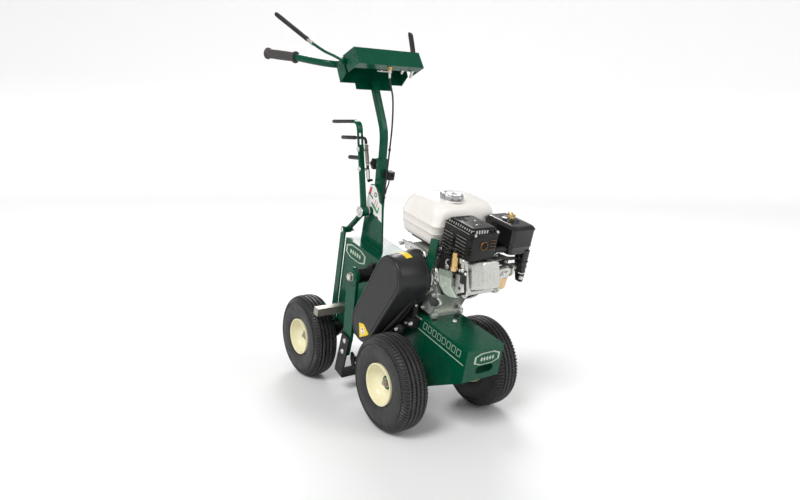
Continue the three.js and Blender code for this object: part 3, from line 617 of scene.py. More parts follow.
def tyre_shape():
    """One tyre round the origin: grooved tread, lugged shoulders, pips and rings on the walls."""
    low, high = extent("front_right_tyre")
    radius = TYRE_RADIUS
    half_width = (high.y - low.y) / 2
    section = fine_section(radius, half_width, RIM_RADIUS + 0.4)
    rings = []
    for k in range(TYRE_TURNS):
        turn = TAU * k / TYRE_TURNS
        points = []
        for r, y in section:
            low_r = radius - r
            r -= tread_depth(turn, y, low_r) if low_r < BAR_DROP else 0
            points.append(Vector((r * math.cos(turn), y, r * math.sin(turn))))
        rings.append(points)
    tyre = Shape().skin(rings, loop=True)
    for side in (-1, 1):
        for k in range(6):
            turn = TAU * (k + 0.3) / 6
            out = 0.76 * radius
            at = Vector((out * math.cos(turn), side * half_width * 0.97, out * math.sin(turn)))
            tyre.turned(at, Y * side, [(2.2, 0), (2.0, 0.9), (1.2, 1.3)], 12)
        for r, height in ((RIM_RADIUS + 12, 0.5), (0.83 * radius, 0.45)):
            at = Y * side * half_width * (0.915 if r < 80 else 0.985)
            hoop = [(r, -1), (r, height), (r + 1.4, height), (r + 1.4, -1)]
            tyre.turned(at, Y * side, hoop, 144, True)
    return tyre


def rim_shape():
    """Pressed disc rim, dished towards its outer face at +Y."""
    r = RIM_RADIUS
    profile = [
        (r, 34), (r + 0.6, 38), (r, 40.2), (r - 1.6, 41), (r - 3.2, 40.4), (r - 4, 38.4), (r - 4.6, 35),
        (r - 6.4, 28), (r - 9.4, 20.5), (r - 14, 14), (40, 10.6), (34, 7.6), (28, 5.6), (22, 4.4),
        (18.8, 4.6), (17.3, 6), (17, 10), (16.2, 11), (10.4, 11), (10.4, -38), (11, -40), (16, -40),
        (17, -39), (17, -1),
        (18.4, 0.8), (28, 2.2), (38, 6), (44, 10), (47, 9), (50, 2), (r - 4.6, -36), (r - 3, -40.4),
        (r - 1.2, -41), (r, -40), (r, -34),
    ]
    return Shape().turned((0, 0, 0), Y, profile, 96, loop=True)


def wheel(name, body, sign):
    """Tyre, rim, valve and hub of one wheel; sign is 1 on the left and -1 on the right."""
    turned_out = Matrix.Identity(4) if sign > 0 else Matrix.Rotation(math.pi, 4, "Z")
    place = CHASSIS @ Matrix.Translation(centre(name + "_tyre")) @ turned_out
    for look, shape, part in ((RUBBER, TYRE_SHAPE, "tyre"), (CREAM, RIM_SHAPE, "rim")):
        node = f"{name}_{part}"
        piece(node + "_skin", shape, look, body, sharp=30, replaces=[node], place=place)
    stem_at = Vector((33, -1, -27))
    bulge = [(6, -6), (5.4, 0), (3.4, 3), (3.2, 11), (3.8, 12), (3.8, 17), (3, 18)]
    piece(name + "_valve", Shape().turned(stem_at, (-0.3, -1, 0.25), bulge, 18), MATTE, body, place=place)
    hub = Shape().turned((0, 0, 0), Y, [(13.4, 11.2), (13.4, 12.8), (12.6, 13.4), (9, 13.4)], 32)
    hub.skin([ring(Y * h, Y, k, 6) for k, h in ((8.8, 13.2), (9.4, 13.8), (9.4, 19.4), (8.2, 20.4))])
    hub.turned((0, 0, 0), Y, [(5.4, 18), (5.4, 24), (4.4, 25)], 20)
    piece(name + "_hub_nut", hub, STEEL, body, sharp=35, place=place)
    collar = Shape().turned((0, 0, 0), Y, [(17.4, 3), (19.2, 4), (19.2, 10.4), (18, 11.8), (13, 11.8)], 40)
    collar.turned((0, 0, 0), Y, [(17.2, -39), (19, -38), (19, -20), (17.2, -19)], 40)
    piece(name + "_hub_collar", collar, GREEN, body, place=place)


TYRE_RADIUS = TO_CHASSIS.to_scale().x * ORIGIN.z
RIM_RADIUS = (extent("front_right_rim")[1].x - extent("front_right_rim")[0].x) / 2
TYRE_SHAPE = tyre_shape()
RIM_SHAPE = rim_shape()
for wheel_name, wheel_body in (
    ("front_left", "front_wheels"),
    ("front_right", "front_wheels"),
    ("rear_left", "rear_wheel_left"),
    ("rear_right", "rear_wheel_right"),
):
    wheel(wheel_name, wheel_body, 1 if wheel_name.endswith("left") else -1)


# ---------- chassis ----------
SIDE_Y = extent("chassis_frame")[0].y
NOSE_X = extent("chassis_frame")[1].x
DECK_Z = extent("crankcase")[0].z - 0.3
BOX_TOP_Z = extent("quadrant_plate")[0].z - 0.3
BOX_FRONT_X = -235
SIDES = (("left", 1), ("right", -1))
ROCK = pivot("blade_rock")
CRANK = pivot("crankshaft_spin")
JACK = pivot("eccentric_spin")


def weld_bead(path, radius, step=3.4):
    """A row of overlapping ripples along a path."""
    dense = [a.lerp(b, k / 12) for a, b in zip(path, path[1:]) for k in range(12)] + [path[-1]]
    gone, scale = 0.0, []
    for a, b in zip([dense[0]] + dense, dense):
        gone += (b - a).length
        scale.append(0.82 + 0.18 * abs(math.sin(math.pi * gone / step)))
    return Shape().tube(dense, radius, 8, scale)


def hexagon(at, along, up, width, height):
    """A long hexagon with short upright ends, as corner points round a middle."""
    at, along, up = Vector(at), Vector(along).normalized(), Vector(up).normalized()
    outline = [(-1, -0.55), (-0.5, -1), (0.5, -1), (1, -0.55), (1, 0.55), (0.5, 1), (-0.5, 1), (-1, 0.55)]
    return [at + along * (u * width / 2) + up * (v * height / 2) for u, v in outline]


def badge(name, at, along, up, width, height):
    """A plain raised plate with a pale border: a green field and no lettering."""
    out = Vector(along).cross(Vector(up)).normalized()
    at = Vector(at)
    layers = ((INK, 1.0, -0.4, 1.2, "rim"), (GREEN, 0.86, 0.9, 1.7, "field"))
    for look, share, low, high, part in layers:
        wide, tall = width * share, height * share
        shape = Shape().skin([hexagon(at + out * h, along, up, wide, tall) for h in (low, high)])
        piece(f"{name}_{part}", shape, look, bevel=0.25)
    bars = Shape()
    for k in range(5):
        middle = at + out * 1.6 + Vector(along) * (k - 2) * width * 0.115
        bars.skin([hexagon(middle + out * h, along, up, width * 0.075, height * 0.3) for h in (0, 0.5)])
    piece(f"{name}_bars", bars, INK, bevel=0.1)


def chassis():
    """Deck and rear box: welds, painted slot shade, studs, bosses, badges, stripe and lift bar."""
    welds = Shape()
    corner_x, side = BOX_FRONT_X + 2, -SIDE_Y
    for sign in (-1, 1):
        rise = [(corner_x, sign * (side - 1), DECK_Z + 2), (corner_x, sign * (side - 1), BOX_TOP_Z - 4)]
        welds.add(weld_bead([Vector(p) for p in rise], 2.4))
    across = [Vector((corner_x, -side + 3, DECK_Z + 1)), Vector((corner_x, side - 3, DECK_Z + 1))]
    welds.add(weld_bead(across, 2.6))
    piece("chassis_welds", welds, GREEN)
    # Painted shade: thin near-black slabs sit in the deck slots and stand for the dark inside them.
    slot_shade = Shape()
    for x, y, length in ((-4, -40, 22), (-2, 40, 22), (-222, 30, 26)):
        slot_outline = [(x + u, y + v) for u, v in rounded(9, length, 4)]
        slot_shade.slab(slot_outline, DECK_Z - 0.5, DECK_Z + 0.35, "xy")
    piece("deck_slot_shade", slot_shade, HOLE_SHADE)
    studs = Shape().dome((20, 14, DECK_Z), Z, 7, 5)
    studs.bolt((ROCK.x + 64, SIDE_Y, 140), -Y, 11, 5)
    studs.bolt((-366, SIDE_Y, 30), -Y, 13, 6)
    yoke = pivot("rear_yoke_swing")
    for sign in (1, -1):
        studs.bolt((yoke.x, sign * SIDE_Y, yoke.z), -Y * sign, 19, 9)
    piece("chassis_studs", studs, ZINC, bevel=0.3)
    plugs = Shape()
    for sign in (-1, 1):
        plugs.turned((0, sign * -SIDE_Y, 0), Y * sign, [(26, -1), (26, 6), (24, 8), (11.5, 8)], 40)
    piece("axle_bosses", plugs, BLACK, sharp=35)
    badge("nose_badge", (NOSE_X, 9, 134.5), Y, Z, 88, 35)
    badge("box_badge", (-399, SIDE_Y, 207), X, Z, 116, 44)
    badge("far_box_badge", (-399, -SIDE_Y, 207), -X, Z, 116, 44)
    stripe = Shape()
    line = [(-40, 126.5), (163, 120.5), (163, 123), (-40, 129.5)]
    stripe.slab(line, SIDE_Y + 0.3, SIDE_Y - 0.4)
    for k in range(8):
        x = -18 + 21 * k
        low_z = 138 - 0.02 * x
        for u, w, v, t in ((0, 1.5, 0, 20), (14, 1.5, 0, 20), (1, 14, 0, 1.5), (1, 14, 18.5, 1.5)):
            left, foot, top = x + u, low_z + v, low_z + v + t
            bar = [(left, foot), (left + w, foot), (left + w + 2, top), (left + 2, top)]
            stripe.slab(bar, SIDE_Y + 0.3, SIDE_Y - 0.4)
    piece("side_stripe", stripe, INK)
    bar_low, bar_high = extent("lift_bar")
    middle = (bar_low + bar_high) / 2
    size = bar_high.x - bar_low.x + 7
    outline = [(middle.x + u, middle.z + v) for u, v in rounded(size, size, 5)]
    piece("lift_bar_weld", Shape().slab(outline, SIDE_Y - 5, SIDE_Y), GREEN, bevel=2.2, steps=3)
    marks = Shape()
    for u, v in ((-5, 5), (5, 4), (-4, -5), (5, -5)):
        marks.turned((middle.x + u, bar_low.y, middle.z + v), -Y, [(1.6, -0.5), (1.5, 0.25), (0.8, 0.4)], 12)
    piece("lift_bar_marks", marks, MATTE)


# ---------- rear yoke ----------
def rear_yoke():
    """Collars and grease nipples of the yoke that carries the rear wheels."""
    yoke_pin = pivot("rear_yoke_swing")
    bits = Shape()
    axle_at = pivot("rear_left_roll")
    for sign in (-1, 1):
        bits.turned((yoke_pin.x, sign * 43, yoke_pin.z), -Y * sign, [(16, -1), (16, 4), (14, 5), (9, 5)], 32)
        bits.turned((axle_at.x, sign * 106, axle_at.z), -Y * sign, [(18.6, -1), (18.6, 7), (17, 8.5)], 32)
    piece("yoke_collars", bits, BLACK, "rear_yoke", sharp=35)
    grease = Shape()
    for sign in (-1, 1):
        at = Vector((axle_at.x, sign * 76, axle_at.z + 16.5))
        grease.turned(at, Z, [(4, -1), (4, 3), (2.4, 4), (2, 8), (2.8, 9.5), (1.6, 11)], 14)
    piece("grease_nipples", grease, BRASS, "rear_yoke")


# ---------- blade frame ----------
BLADE_FOOT = Vector((-285, 0, -149))
BLADE_LEAN = math.radians(7)
BLADE_REACH = 22.3
BLADE_BOLT_HEIGHTS = (131, 92)
BLADE_HALF_W = 138
ARM_WELD_Y = 139
PIVOT_DISC_Y = 144


def blade_frame():
    """The rocking frame: arms, pivots, bolts and the ground edge of the blade."""
    for side, sign in SIDES:
        ribs = Shape()
        for y in (74, 84, 118):
            profile = [(20.6, -1), (22.6, 0), (22.6, 4), (20.6, 5)]
            ribs.turned((ROCK.x, sign * y, ROCK.z), Y * sign, profile, 44)
        for at in ring((ROCK.x, 0, ROCK.z), Y, 26.5, 6, 0.4):
            ribs.bolt((at.x, sign * 71.8, at.z), Y * sign, 8, 4)
        piece(f"housing_ribs_{side}", ribs, BLACK, bevel=0.5, sharp=35)
        outer = Vector((ROCK.x, sign * PIVOT_DISC_Y, ROCK.z))
        disc = Shape().turned(outer, Y * sign, [(28, -0.4), (28, 1.6), (26.8, 2.6), (12, 2.6)], 48)
        piece(f"pivot_disc_{side}", disc, GREEN, "blade_frame", sharp=35)
        cap = Shape().turned(outer, Y * sign, [(13.6, 2.4), (13.6, 4.4), (12.8, 5), (6, 5)], 36)
        cap.bolt(outer + Y * sign * 4.6, Y * sign, 16, 7)
        piece(f"pivot_bolt_{side}", cap, ZINC, "blade_frame", bevel=0.3, sharp=35)
        seam = [Vector((x, sign * ARM_WELD_Y, z)) for x, z in ((-311, 172), (-303.5, 96), (-298, 40))]
        piece(f"arm_edge_weld_{side}", weld_bead(seam, 2.2), GREEN, "blade_frame")
        teeth = Shape()
        for x, z in ((-240, -66), (-234, -88)):
            outline = [(x, z - 4), (x + 12, z - 9), (x + 14, z + 2), (x + 3, z + 6)]
            teeth.slab(outline, sign * 120, sign * 134)
        teeth.slab([(-252, -52), (-238, -56), (-228, -92), (-236, -95), (-250, -70)], sign * 126, sign * 134)
        piece(f"arm_bracket_{side}", teeth, BLACK, "blade_frame", bevel=1.0)
    shaft_low, shaft_high = extent("rock_shaft")
    ends = [(10.6, shaft_low.y), (12, shaft_low.y + 1.4), (12, shaft_high.y - 1.4), (10.6, shaft_high.y)]
    shaft = Shape().turned((ROCK.x, 0, ROCK.z), Y, ends, 40)
    piece("rock_shaft_skin", shaft, STEEL, "blade_frame", replaces=["rock_shaft"])
    bolts = Shape()
    blade_low, blade_high = extent("sod_blade")
    leg_up = Vector((math.sin(BLADE_LEAN), 0, math.cos(BLADE_LEAN)))
    for sign in (-1, 1):
        for height in BLADE_BOLT_HEIGHTS:
            at = BLADE_FOOT + leg_up * height
            at.y = sign * max(abs(blade_low.y), abs(blade_high.y))
            bolts.dome(at, Y * sign, 8.5, 4.2)
            inner = Vector((at.x, sign * 133, at.z))
            bolts.bolt(inner, -Y * sign, 14, 8)
    piece("blade_bolts", bolts, ZINC, "blade_frame", sharp=35)
    edge = Shape()
    front = Vector((math.cos(BLADE_LEAN), 0, -math.sin(BLADE_LEAN)))
    tip = BLADE_FOOT + front * BLADE_REACH
    path = [tip + Vector((0, y, 0)) - front * 0.6 + leg_up * 0.2 for y in (-BLADE_HALF_W, BLADE_HALF_W)]
    edge.sweep(path, [(-0.4, -0.4), (0.4, -0.4), (3.2, 2.2), (3.0, 2.8)], up=leg_up)
    piece("ground_edge", edge, STEEL, "blade_frame")


# ---------- belt drive ----------
def capsule(a, ra, b, rb, sides=28):
    """The outline of a belt round two circles, as (x, z) pairs."""
    way = b - a
    heading = math.atan2(way.z, way.x)
    spread = math.acos((ra - rb) / math.hypot(way.x, way.z))
    out = []
    for at, r, start, sweep in (
        (b, rb, heading - spread, 2 * spread),
        (a, ra, heading + spread, TAU - 2 * spread),
    ):
        for k in range(sides + 1):
            t = start + sweep * k / sides
            out.append((at.x + r * math.cos(t), at.z + r * math.sin(t)))
    return out


COVER_OUTER_Y, COVER_INNER_Y = (corner.y for corner in extent("belt_cover"))
COVER_CRANK_R, COVER_JACK_R = 62, 58
COVER_DEPTH = COVER_INNER_Y - COVER_OUTER_Y
BELT_Y = -108


def cover_ring(y, grow, forward=0.0):
    """The cover's outline at a width, grown all round and moved forward at its lower end."""
    foot = Vector((JACK.x + forward, 0, JACK.z + forward))
    outline = capsule(CRANK, COVER_CRANK_R + grow, foot, COVER_JACK_R + grow + forward / 2)
    return [Vector((x, y, z)) for x, z in outline]


def cover_top(x, y, lift):
    """A point on the top of the cover, lifted a little off it."""
    radius = COVER_CRANK_R + 6 * (y - COVER_OUTER_Y - 9) / (COVER_DEPTH - 16)
    z = CRANK.z + math.sqrt(max(0, radius**2 - (x - CRANK.x) ** 2)) + lift
    return Vector((x, y, z))


def cover_patch(x, y, half_x, half_y, low, high):
    """A label that follows the top of the cover, from low to high above it."""
    corners = [(-half_x, -half_y), (half_x, -half_y), (half_x, half_y), (-half_x, half_y)]
    outline = []
    for (a, b), (c, d) in zip(corners, corners[1:] + corners[:1]):
        outline += [(a + (c - a) * k / 8, b + (d - b) * k / 8) for k in range(8)]
    layers = [(share, high) for share in (0.02, 0.25, 0.5, 0.75, 1.0)] + [(1.0, low)]
    return Shape().skin([[cover_top(x + u * k, y + v * k, lift) for u, v in outline] for k, lift in layers])


def belt_cover():
    """The moulded cover over both pulleys, its latch and its labels."""
    outer, inner = COVER_OUTER_Y, COVER_INNER_Y
    face = [(0.6, -34), (0.3, -14), (1.4, -13), (1.2, -10.5), (0, -8.4), (0, -6.4), (0.8, -4.2)]
    face += [(2.4, -2.4), (5, -1), (9, 0)]
    rings = [cover_ring(outer + deep, grow) for deep, grow in face]
    for k in range(1, 9):
        share = k / 8
        rings.append(cover_ring(outer + 9 + (COVER_DEPTH - 16) * share, 6 * share, 10 * share))
    for y, grow, forward in (
        (inner - 6, 7.8, 10.4), (inner - 1.4, 8.2, 10.6), (inner, 7.2, 10.6), (inner, 3, 10),
        (inner - 10, 1, 10), (outer + 14, -4, 0), (outer + 5, -9, 0), (outer + 4.6, -34, 0),
    ):
        rings.append(cover_ring(y, grow, forward))
    piece("belt_cover_shell", Shape().skin(rings), COVER, sharp=40, replaces=["belt_cover"])
    ridges = Shape()
    for low_y, high_y in ((-138, -112), (-118, -98)):
        start = Vector((JACK.x + 60, low_y, JACK.z - 18))
        end = Vector((CRANK.x + 63, high_y, CRANK.z - 48))
        middle = start.lerp(end, 0.5) + Vector((2.5, 0, 0))
        path = smooth_path([start, middle, end], 10)
        shares = [min(1, 0.12 + i / len(path)) for i in range(len(path))]
        scale = [0.25 + 0.75 * math.sin(math.pi * share) for share in shares]
        ridges.tube(path, 5.4, 14, scale)
    piece("cover_ridges", ridges, COVER)
    latch = Shape().box((-70, -92, 132), (-34, -68, 160))
    latch.box((-50, -86, 156), (-40, -72, 196))
    latch.box((-86, -104, 120), (-62, -68, 128))
    latch.turned((-66, -104, 120), -Y, [(15, -1), (15, 10), (13, 12), (6, 12.5)], 32)
    piece("cover_latch", latch, MATTE, bevel=1.6)
    screws = Shape().bolt((-36, -93, 148), -Y, 10, 5)
    screws.bolt((-58, -93, 140), -Y, 8, 4)
    screws.bolt((-66, -116.5, 120), -Y, 9, 4)
    screws.turned((-45, -79, 196), Z, [(4.5, -2), (4.5, 5), (3.5, 6)], 16)
    screws.tube([(-60, -74, 176), (-38, -76, 168), (-16, -72, 166)], 2.4, 10)
    piece("latch_screws", screws, ZINC, sharp=35)
    sticker_at = (CRANK.x - 2, -110)
    piece("top_sticker", cover_patch(*sticker_at, 22, 10, -0.4, 0.45), YELLOW)
    piece("top_sticker_dot", cover_patch(*sticker_at, 4.4, 2, 0.3, 0.65), INK)
    face = outer - 0.2
    sticker = Shape()
    outline = [(-190, 85), (-167, 92), (-135, 75), (-142, 68), (-177, 44)]
    sticker.slab(outline, face - 0.5, face + 0.8)
    piece("side_sticker", sticker, YELLOW)
    inlay = Shape()
    inlay.slab([(-175, 78), (-165, 82), (-155, 72), (-160, 61), (-171, 60), (-176, 68)], face - 0.8, face)
    piece("sticker_inlay", inlay, WHITE)
    spots = Shape()
    for x, z, r in ((-168, 75, 3.4), (-163, 66, 2.6)):
        spots.turned((x, face - 0.5, z), -Y, [(r, -0.2), (r, 0.6), (r * 0.6, 0.7)], 20)
    piece("sticker_spots", spots, RED)


def pulleys():
    """Both V-pulleys and the belt round them."""
    for node, body, at, sides in (
        ("driven_pulley", "eccentric", JACK, 64),
        ("drive_pulley", "crankshaft", CRANK, 48),
    ):
        low, high = extent(node)
        radius = (high.x - low.x) / 2
        belt_r = radius - 11
        profile = [
            (10.4, -14), (17, -14), (18, -13), (18, -10.5), (belt_r, -10), (radius - 1, -10), (radius, -9),
            (radius, -8), (radius - 0.6, -7.2), (belt_r - 1, -4.5), (belt_r - 1, 4.5), (radius - 0.6, 7.2),
            (radius, 8), (radius, 9), (radius - 1, 10), (18, 10), (10.4, 10),
        ]
        shape = Shape().turned((at.x, BELT_Y, at.z), Y, profile, sides, loop=True)
        piece(node + "_skin", shape, CAST, body, sharp=30, replaces=[node])
    section = ((4.4, -5.9), (4.4, 5.9), (-4.2, 3.6), (-4.2, -3.6))
    path = [Vector((x, BELT_Y, z)) for x, z in capsule(CRANK, 24, JACK, 44)]
    rings = []
    count = len(path)
    for i, p in enumerate(path):
        ahead = (path[(i + 1) % count] - path[i - 1]).normalized()
        outward = Vector((ahead.z, 0, -ahead.x))
        rings.append([p + outward * u + Y * v for u, v in section])
    piece("v_belt", Shape().skin(rings, loop=True), DIPPED, sharp=40, replaces=["drive_belt"])


chassis()
rear_yoke()
blade_frame()
belt_cover()
pulleys()


# ---------- engine ----------
TILT = math.radians(20)
FEET = ((-20, -31), (-20, 61), (-196, -31), (-196, 61))
CAP_STEPS = (
    (0, 32, 0.7), (1.2, 33.2, 1), (10.5, 33.2, 1), (12.5, 32, 0.8), (14.2, 28, 0.2), (15, 23.5, 0),
    (14.2, 22, 0), (14.4, 6, 0), (15.6, 4, 0),
)
CAP_SIDES, CAP_FLUTES = 144, 12
CLEANER_NUT_X, CLEANER_NUT_Y = 22, 150


def cylinder_point(s, t, y):
    """A point s along the leaning cylinder's axis and t square to it."""
    x = CRANK.x + s * math.cos(TILT) - t * math.sin(TILT)
    return Vector((x, y, CRANK.z + s * math.sin(TILT) + t * math.cos(TILT)))


def level(z, low, high, corner, inset=0.0, steps=6):
    """A level round-cornered ring inside two corners, pulled in by an inset."""
    width, depth = high.x - low.x - 2 * inset, high.y - low.y - 2 * inset
    middle = (low + high) / 2
    outline = rounded(width, depth, min(corner, width / 2.1, depth / 2.1), steps)
    return [Vector((middle.x + u, middle.y + v, z)) for u, v in outline]


def fuel_tank():
    """Tank with its seam, cap, saddle and bracket."""
    low, high = extent("fuel_tank")
    lip = 427
    heights = [
        (low.z, 16, 10), (low.z + 1.5, 11.5, 12), (low.z + 5, 8, 14), (low.z + 13, 5, 16), (392, 2.6, 18),
        (402, 0.8, 19), (403, 0, 19), (405, -0.2, 19), (406, 0.2, 20), (412, -0.8, 20), (lip - 4, -1.6, 21),
        (lip - 2.6, -2.8, 21), (lip - 1.2, -3.4, 21), (lip + 1.2, -3.4, 21), (lip + 2.6, -2.8, 21),
        (lip + 4, -1.6, 21), (445, 0, 23), (458, 2.4, 25), (468, 6, 28), (475, 10.5, 31), (480.5, 16.5, 34),
        (484.5, 25, 38), (487, 37, 38), (488.4, 52, 30), (high.z, 66, 18),
    ]
    tank = Shape().skin([level(z, low, high, corner, inset, 10) for z, inset, corner in heights])
    piece("tank_skin", tank, TANK, sharp=50, replaces=["fuel_tank"])
    cap_low, cap_high = extent("fuel_cap")
    at = (cap_low + cap_high) / 2
    neck = Shape().turned((at.x, at.y, cap_low.z), Z, [(33, -4), (33, -2.6), (31.4, -0.6), (20, -0.2)], 48)
    piece("tank_neck", neck, TANK)
    rings = []
    for z, r, wave in CAP_STEPS:
        ring_points = []
        for k in range(CAP_SIDES):
            turn = TAU * k / CAP_SIDES
            radius = r - wave * (1.1 + 1.1 * math.cos(turn * CAP_FLUTES))
            x, y = at.x + radius * math.cos(turn), at.y + radius * math.sin(turn)
            ring_points.append(Vector((x, y, cap_low.z + z)))
        rings.append(ring_points)
    piece("cap_skin", Shape().skin(rings), CAP_METAL, "fuel_cap", sharp=40, replaces=["fuel_cap"])
    straps = Shape()
    for x in (-176, -72):
        straps.box((x - 11, low.y + 22, low.z - 6), (x + 11, high.y - 22, low.z + 1.4))
    straps.box((-190, -18, low.z - 20), (-54, 118, low.z - 5))
    piece("tank_saddle", straps, MATTE, bevel=1.5)
    brackets = Shape()
    for y, bend, section in (
        (-54, ((-184, 330), (-168, 337), (-120, 341), (-84, 338), (-70, 328)), rounded(8, 15, 3.6)),
        (-51, ((-170, 322), (-120, 328), (-84, 326), (-62, 314), (-50, 296)), rounded(3, 9, 1.4)),
    ):
        brackets.sweep(smooth_path([(x, y, z) for x, z in bend]), section)
    piece("bracket_skin", brackets, CHROME, replaces=["tank_bracket"])
    bolts = Shape().bolt((-181, -58, 331), -Y, 12, 6)
    bolts.bolt((-74, -58, 331), -Y, 10, 5)
    bolts.bolt((-52, -53, 296), -Y, 10, 5)
    piece("bracket_bolts", bolts, ZINC, bevel=0.3)


def louvre(x0, x1, y, z, drop, out):
    """A pressed hood on a face that looks along -Y: closed at the top, open below."""
    rings = []
    for k in range(9):
        share = k / 8
        bulge = math.sin(math.pi * share) ** 0.4 if 0 < share < 1 else 0.05
        x = x0 + (x1 - x0) * share
        o = out * bulge
        section = ((0.3, 0), (-o * 0.75, -drop * 0.4), (-o, -drop), (0.3, -drop))
        rings.append([Vector((x, y + v, z + w)) for v, w in section])
    return Shape().skin(rings)


def muffler():
    """The pressed heat shield: louvred side and front, outlet and screws."""
    low, high = extent("muffler")
    low = low - Vector((6, 2, 9))
    high = high + Vector((0, 5, 0))
    heights = [
        (low.z, 6), (low.z + 1.4, 2.6), (low.z + 4, 1.2), (high.z - 20, 0.4), (high.z - 15.5, 0),
        (high.z - 14.6, -1), (high.z - 13.4, -1), (high.z - 12.6, 0.2), (high.z - 11, 2.6), (high.z - 4, 7.2),
        (high.z - 1.8, 9), (high.z - 0.5, 11), (high.z, 14),
    ]
    shell = Shape().skin([level(z, low, high, 9, inset, 5) for z, inset in heights])
    piece("muffler_shield", shell, STOVE, sharp=40, replaces=["muffler"])
    # painted_glints are bright satin strips and blocks on the black shield. They are painted highlights along
    # the louvre edges and the ridge below the slots, and painted light where the slots near the top show
    # through.
    hoods, painted_glints = Shape(), Shape()
    for x0, x1, top in ((-33, 12, high.z - 30), (20, 66, high.z - 26)):
        for row in range(6):
            z = top - 9.3 * row
            hoods.add(louvre(x0, x1, low.y + 0.9, z, 5.6, 2.4))
            painted_glints.tube([(x0 + 3, low.y - 1.3, z - 5.5), (x1 - 3, low.y - 1.3, z - 5.5)], 0.55, 6)
            for k in range(9):
                x = x0 + 4 + (x1 - x0 - 8) * k / 8
                hoods.box((x - 0.9, low.y - 0.4, z - 9), (x + 0.9, low.y + 1.5, z - 5.5))
    for k in range(11):
        x = -22 + 9 * k
        strip = ((x, 3, -9.6), (x + 3.4, 3, -9.6), (x + 3.4, 4, -9.2), (x, 4, -9.2))
        ends = ((0, 0), (1.6, 5.2))
        painted_glints.skin([[Vector((a, low.y + v + y, high.z + w + z)) for a, v, w in strip] for y, z in ends])
    for k in range(5):
        y = -23 + 9 * k
        painted_glints.box((high.x - 4.4, y, high.z - 12), (high.x - 1.6, y + 3.6, high.z - 3.5))
    ridge_z = high.z - 14
    painted_glints.tube([(low.x + 5, low.y - 0.5, ridge_z), (high.x - 8, low.y - 0.5, ridge_z)], 0.9, 8)
    painted_glints.tube([(high.x - 9, low.y + 1.6, high.z - 3.6), (high.x - 3.2, low.y + 8, high.z - 3.6)], 0.8, 8)
    piece("shield_louvres", hoods, STOVE)
    piece("shield_glints", painted_glints, SATIN)
    front = Shape()
    for k in range(3):
        y = 22 + 9.5 * k
        front.box((high.x - 4.6, y, high.z - 12), (high.x - 1.4, y + 4, high.z - 3.5))
    gold = Shape()
    for k in range(4):
        z = high.z - 27 - 8.4 * k
        gold.tube([(high.x + 2, 31, z - 5.2), (high.x + 2, 48, z - 5.2)], 0.8, 6)
        rings = []
        for y, b in ((28, 0.2), (30, 1), (48, 1), (50, 0.2)):
            section = ((-0.6, 0), (1.6 * b, -2), (2.2 * b, -5), (-0.6, -5))
            rings.append([Vector((high.x + u, y, z + w)) for u, w in section])
        front.skin(rings)
    for drop in (19, 28, 52, 62, 70):
        bend = ((high.x - 9, low.y - 0.2), (high.x - 1.6, low.y + 1.8), (high.x + 0.2, low.y + 9))
        front.hose([(x, y, high.z - drop) for x, y in bend], 1.6, 8, 4)
    piece("shield_gold_lips", gold, TINTED)
    piece("shield_front_ribs", front, STOVE)
    outlet = Vector((high.x, 10, 415))
    # Painted shade: a near-black disc closes the exhaust outlet and stands for the dark inside it.
    throat_shade = Shape().turned(outlet, X, [(10, -3), (10, 0.9), (9.2, 1.1), (0.1, 1.2)], 40)
    piece("exhaust_throat_shade", throat_shade, HOLE_SHADE)
    rust = Shape().turned(outlet, X, [(12.4, 0.8), (11.8, 2.2), (10.4, 2.2), (9.4, -5), (10.2, -5)], 40, True)
    piece("exhaust_rim", rust, TINTED)
    screws = Shape().bolt((high.x - 1.2, 50, high.z - 10), X, 6, 2.4)
    screws.bolt((high.x - 1.6, -26, high.z - 15), X, 6, 2.4)
    for x, y in ((44, 6), (14, 26)):
        screws.dome((x, y, high.z - 0.6), Z, 3.6, 1.6)
    piece("shield_screws", screws, ZINC)
    tops = Shape()
    for x, y, length, width in ((40, 16, 24, 10), (16, 36, 26, 11)):
        outline = [(x + u, y + v) for u, v in rounded(length, width, 4.6)]
        tops.slab(outline, high.z - 1, high.z + 0.5, "xy")
    for y in (-8, 2):
        tops.tube([(-18, y, high.z - 0.2), (12, y, high.z - 0.2)], 1.8, 10)
    tops.tube([(-19, -12, high.z - 0.2), (-19, 32, high.z - 0.2)], 1.8, 10)
    piece("shield_top_recesses", tops, MATTE)


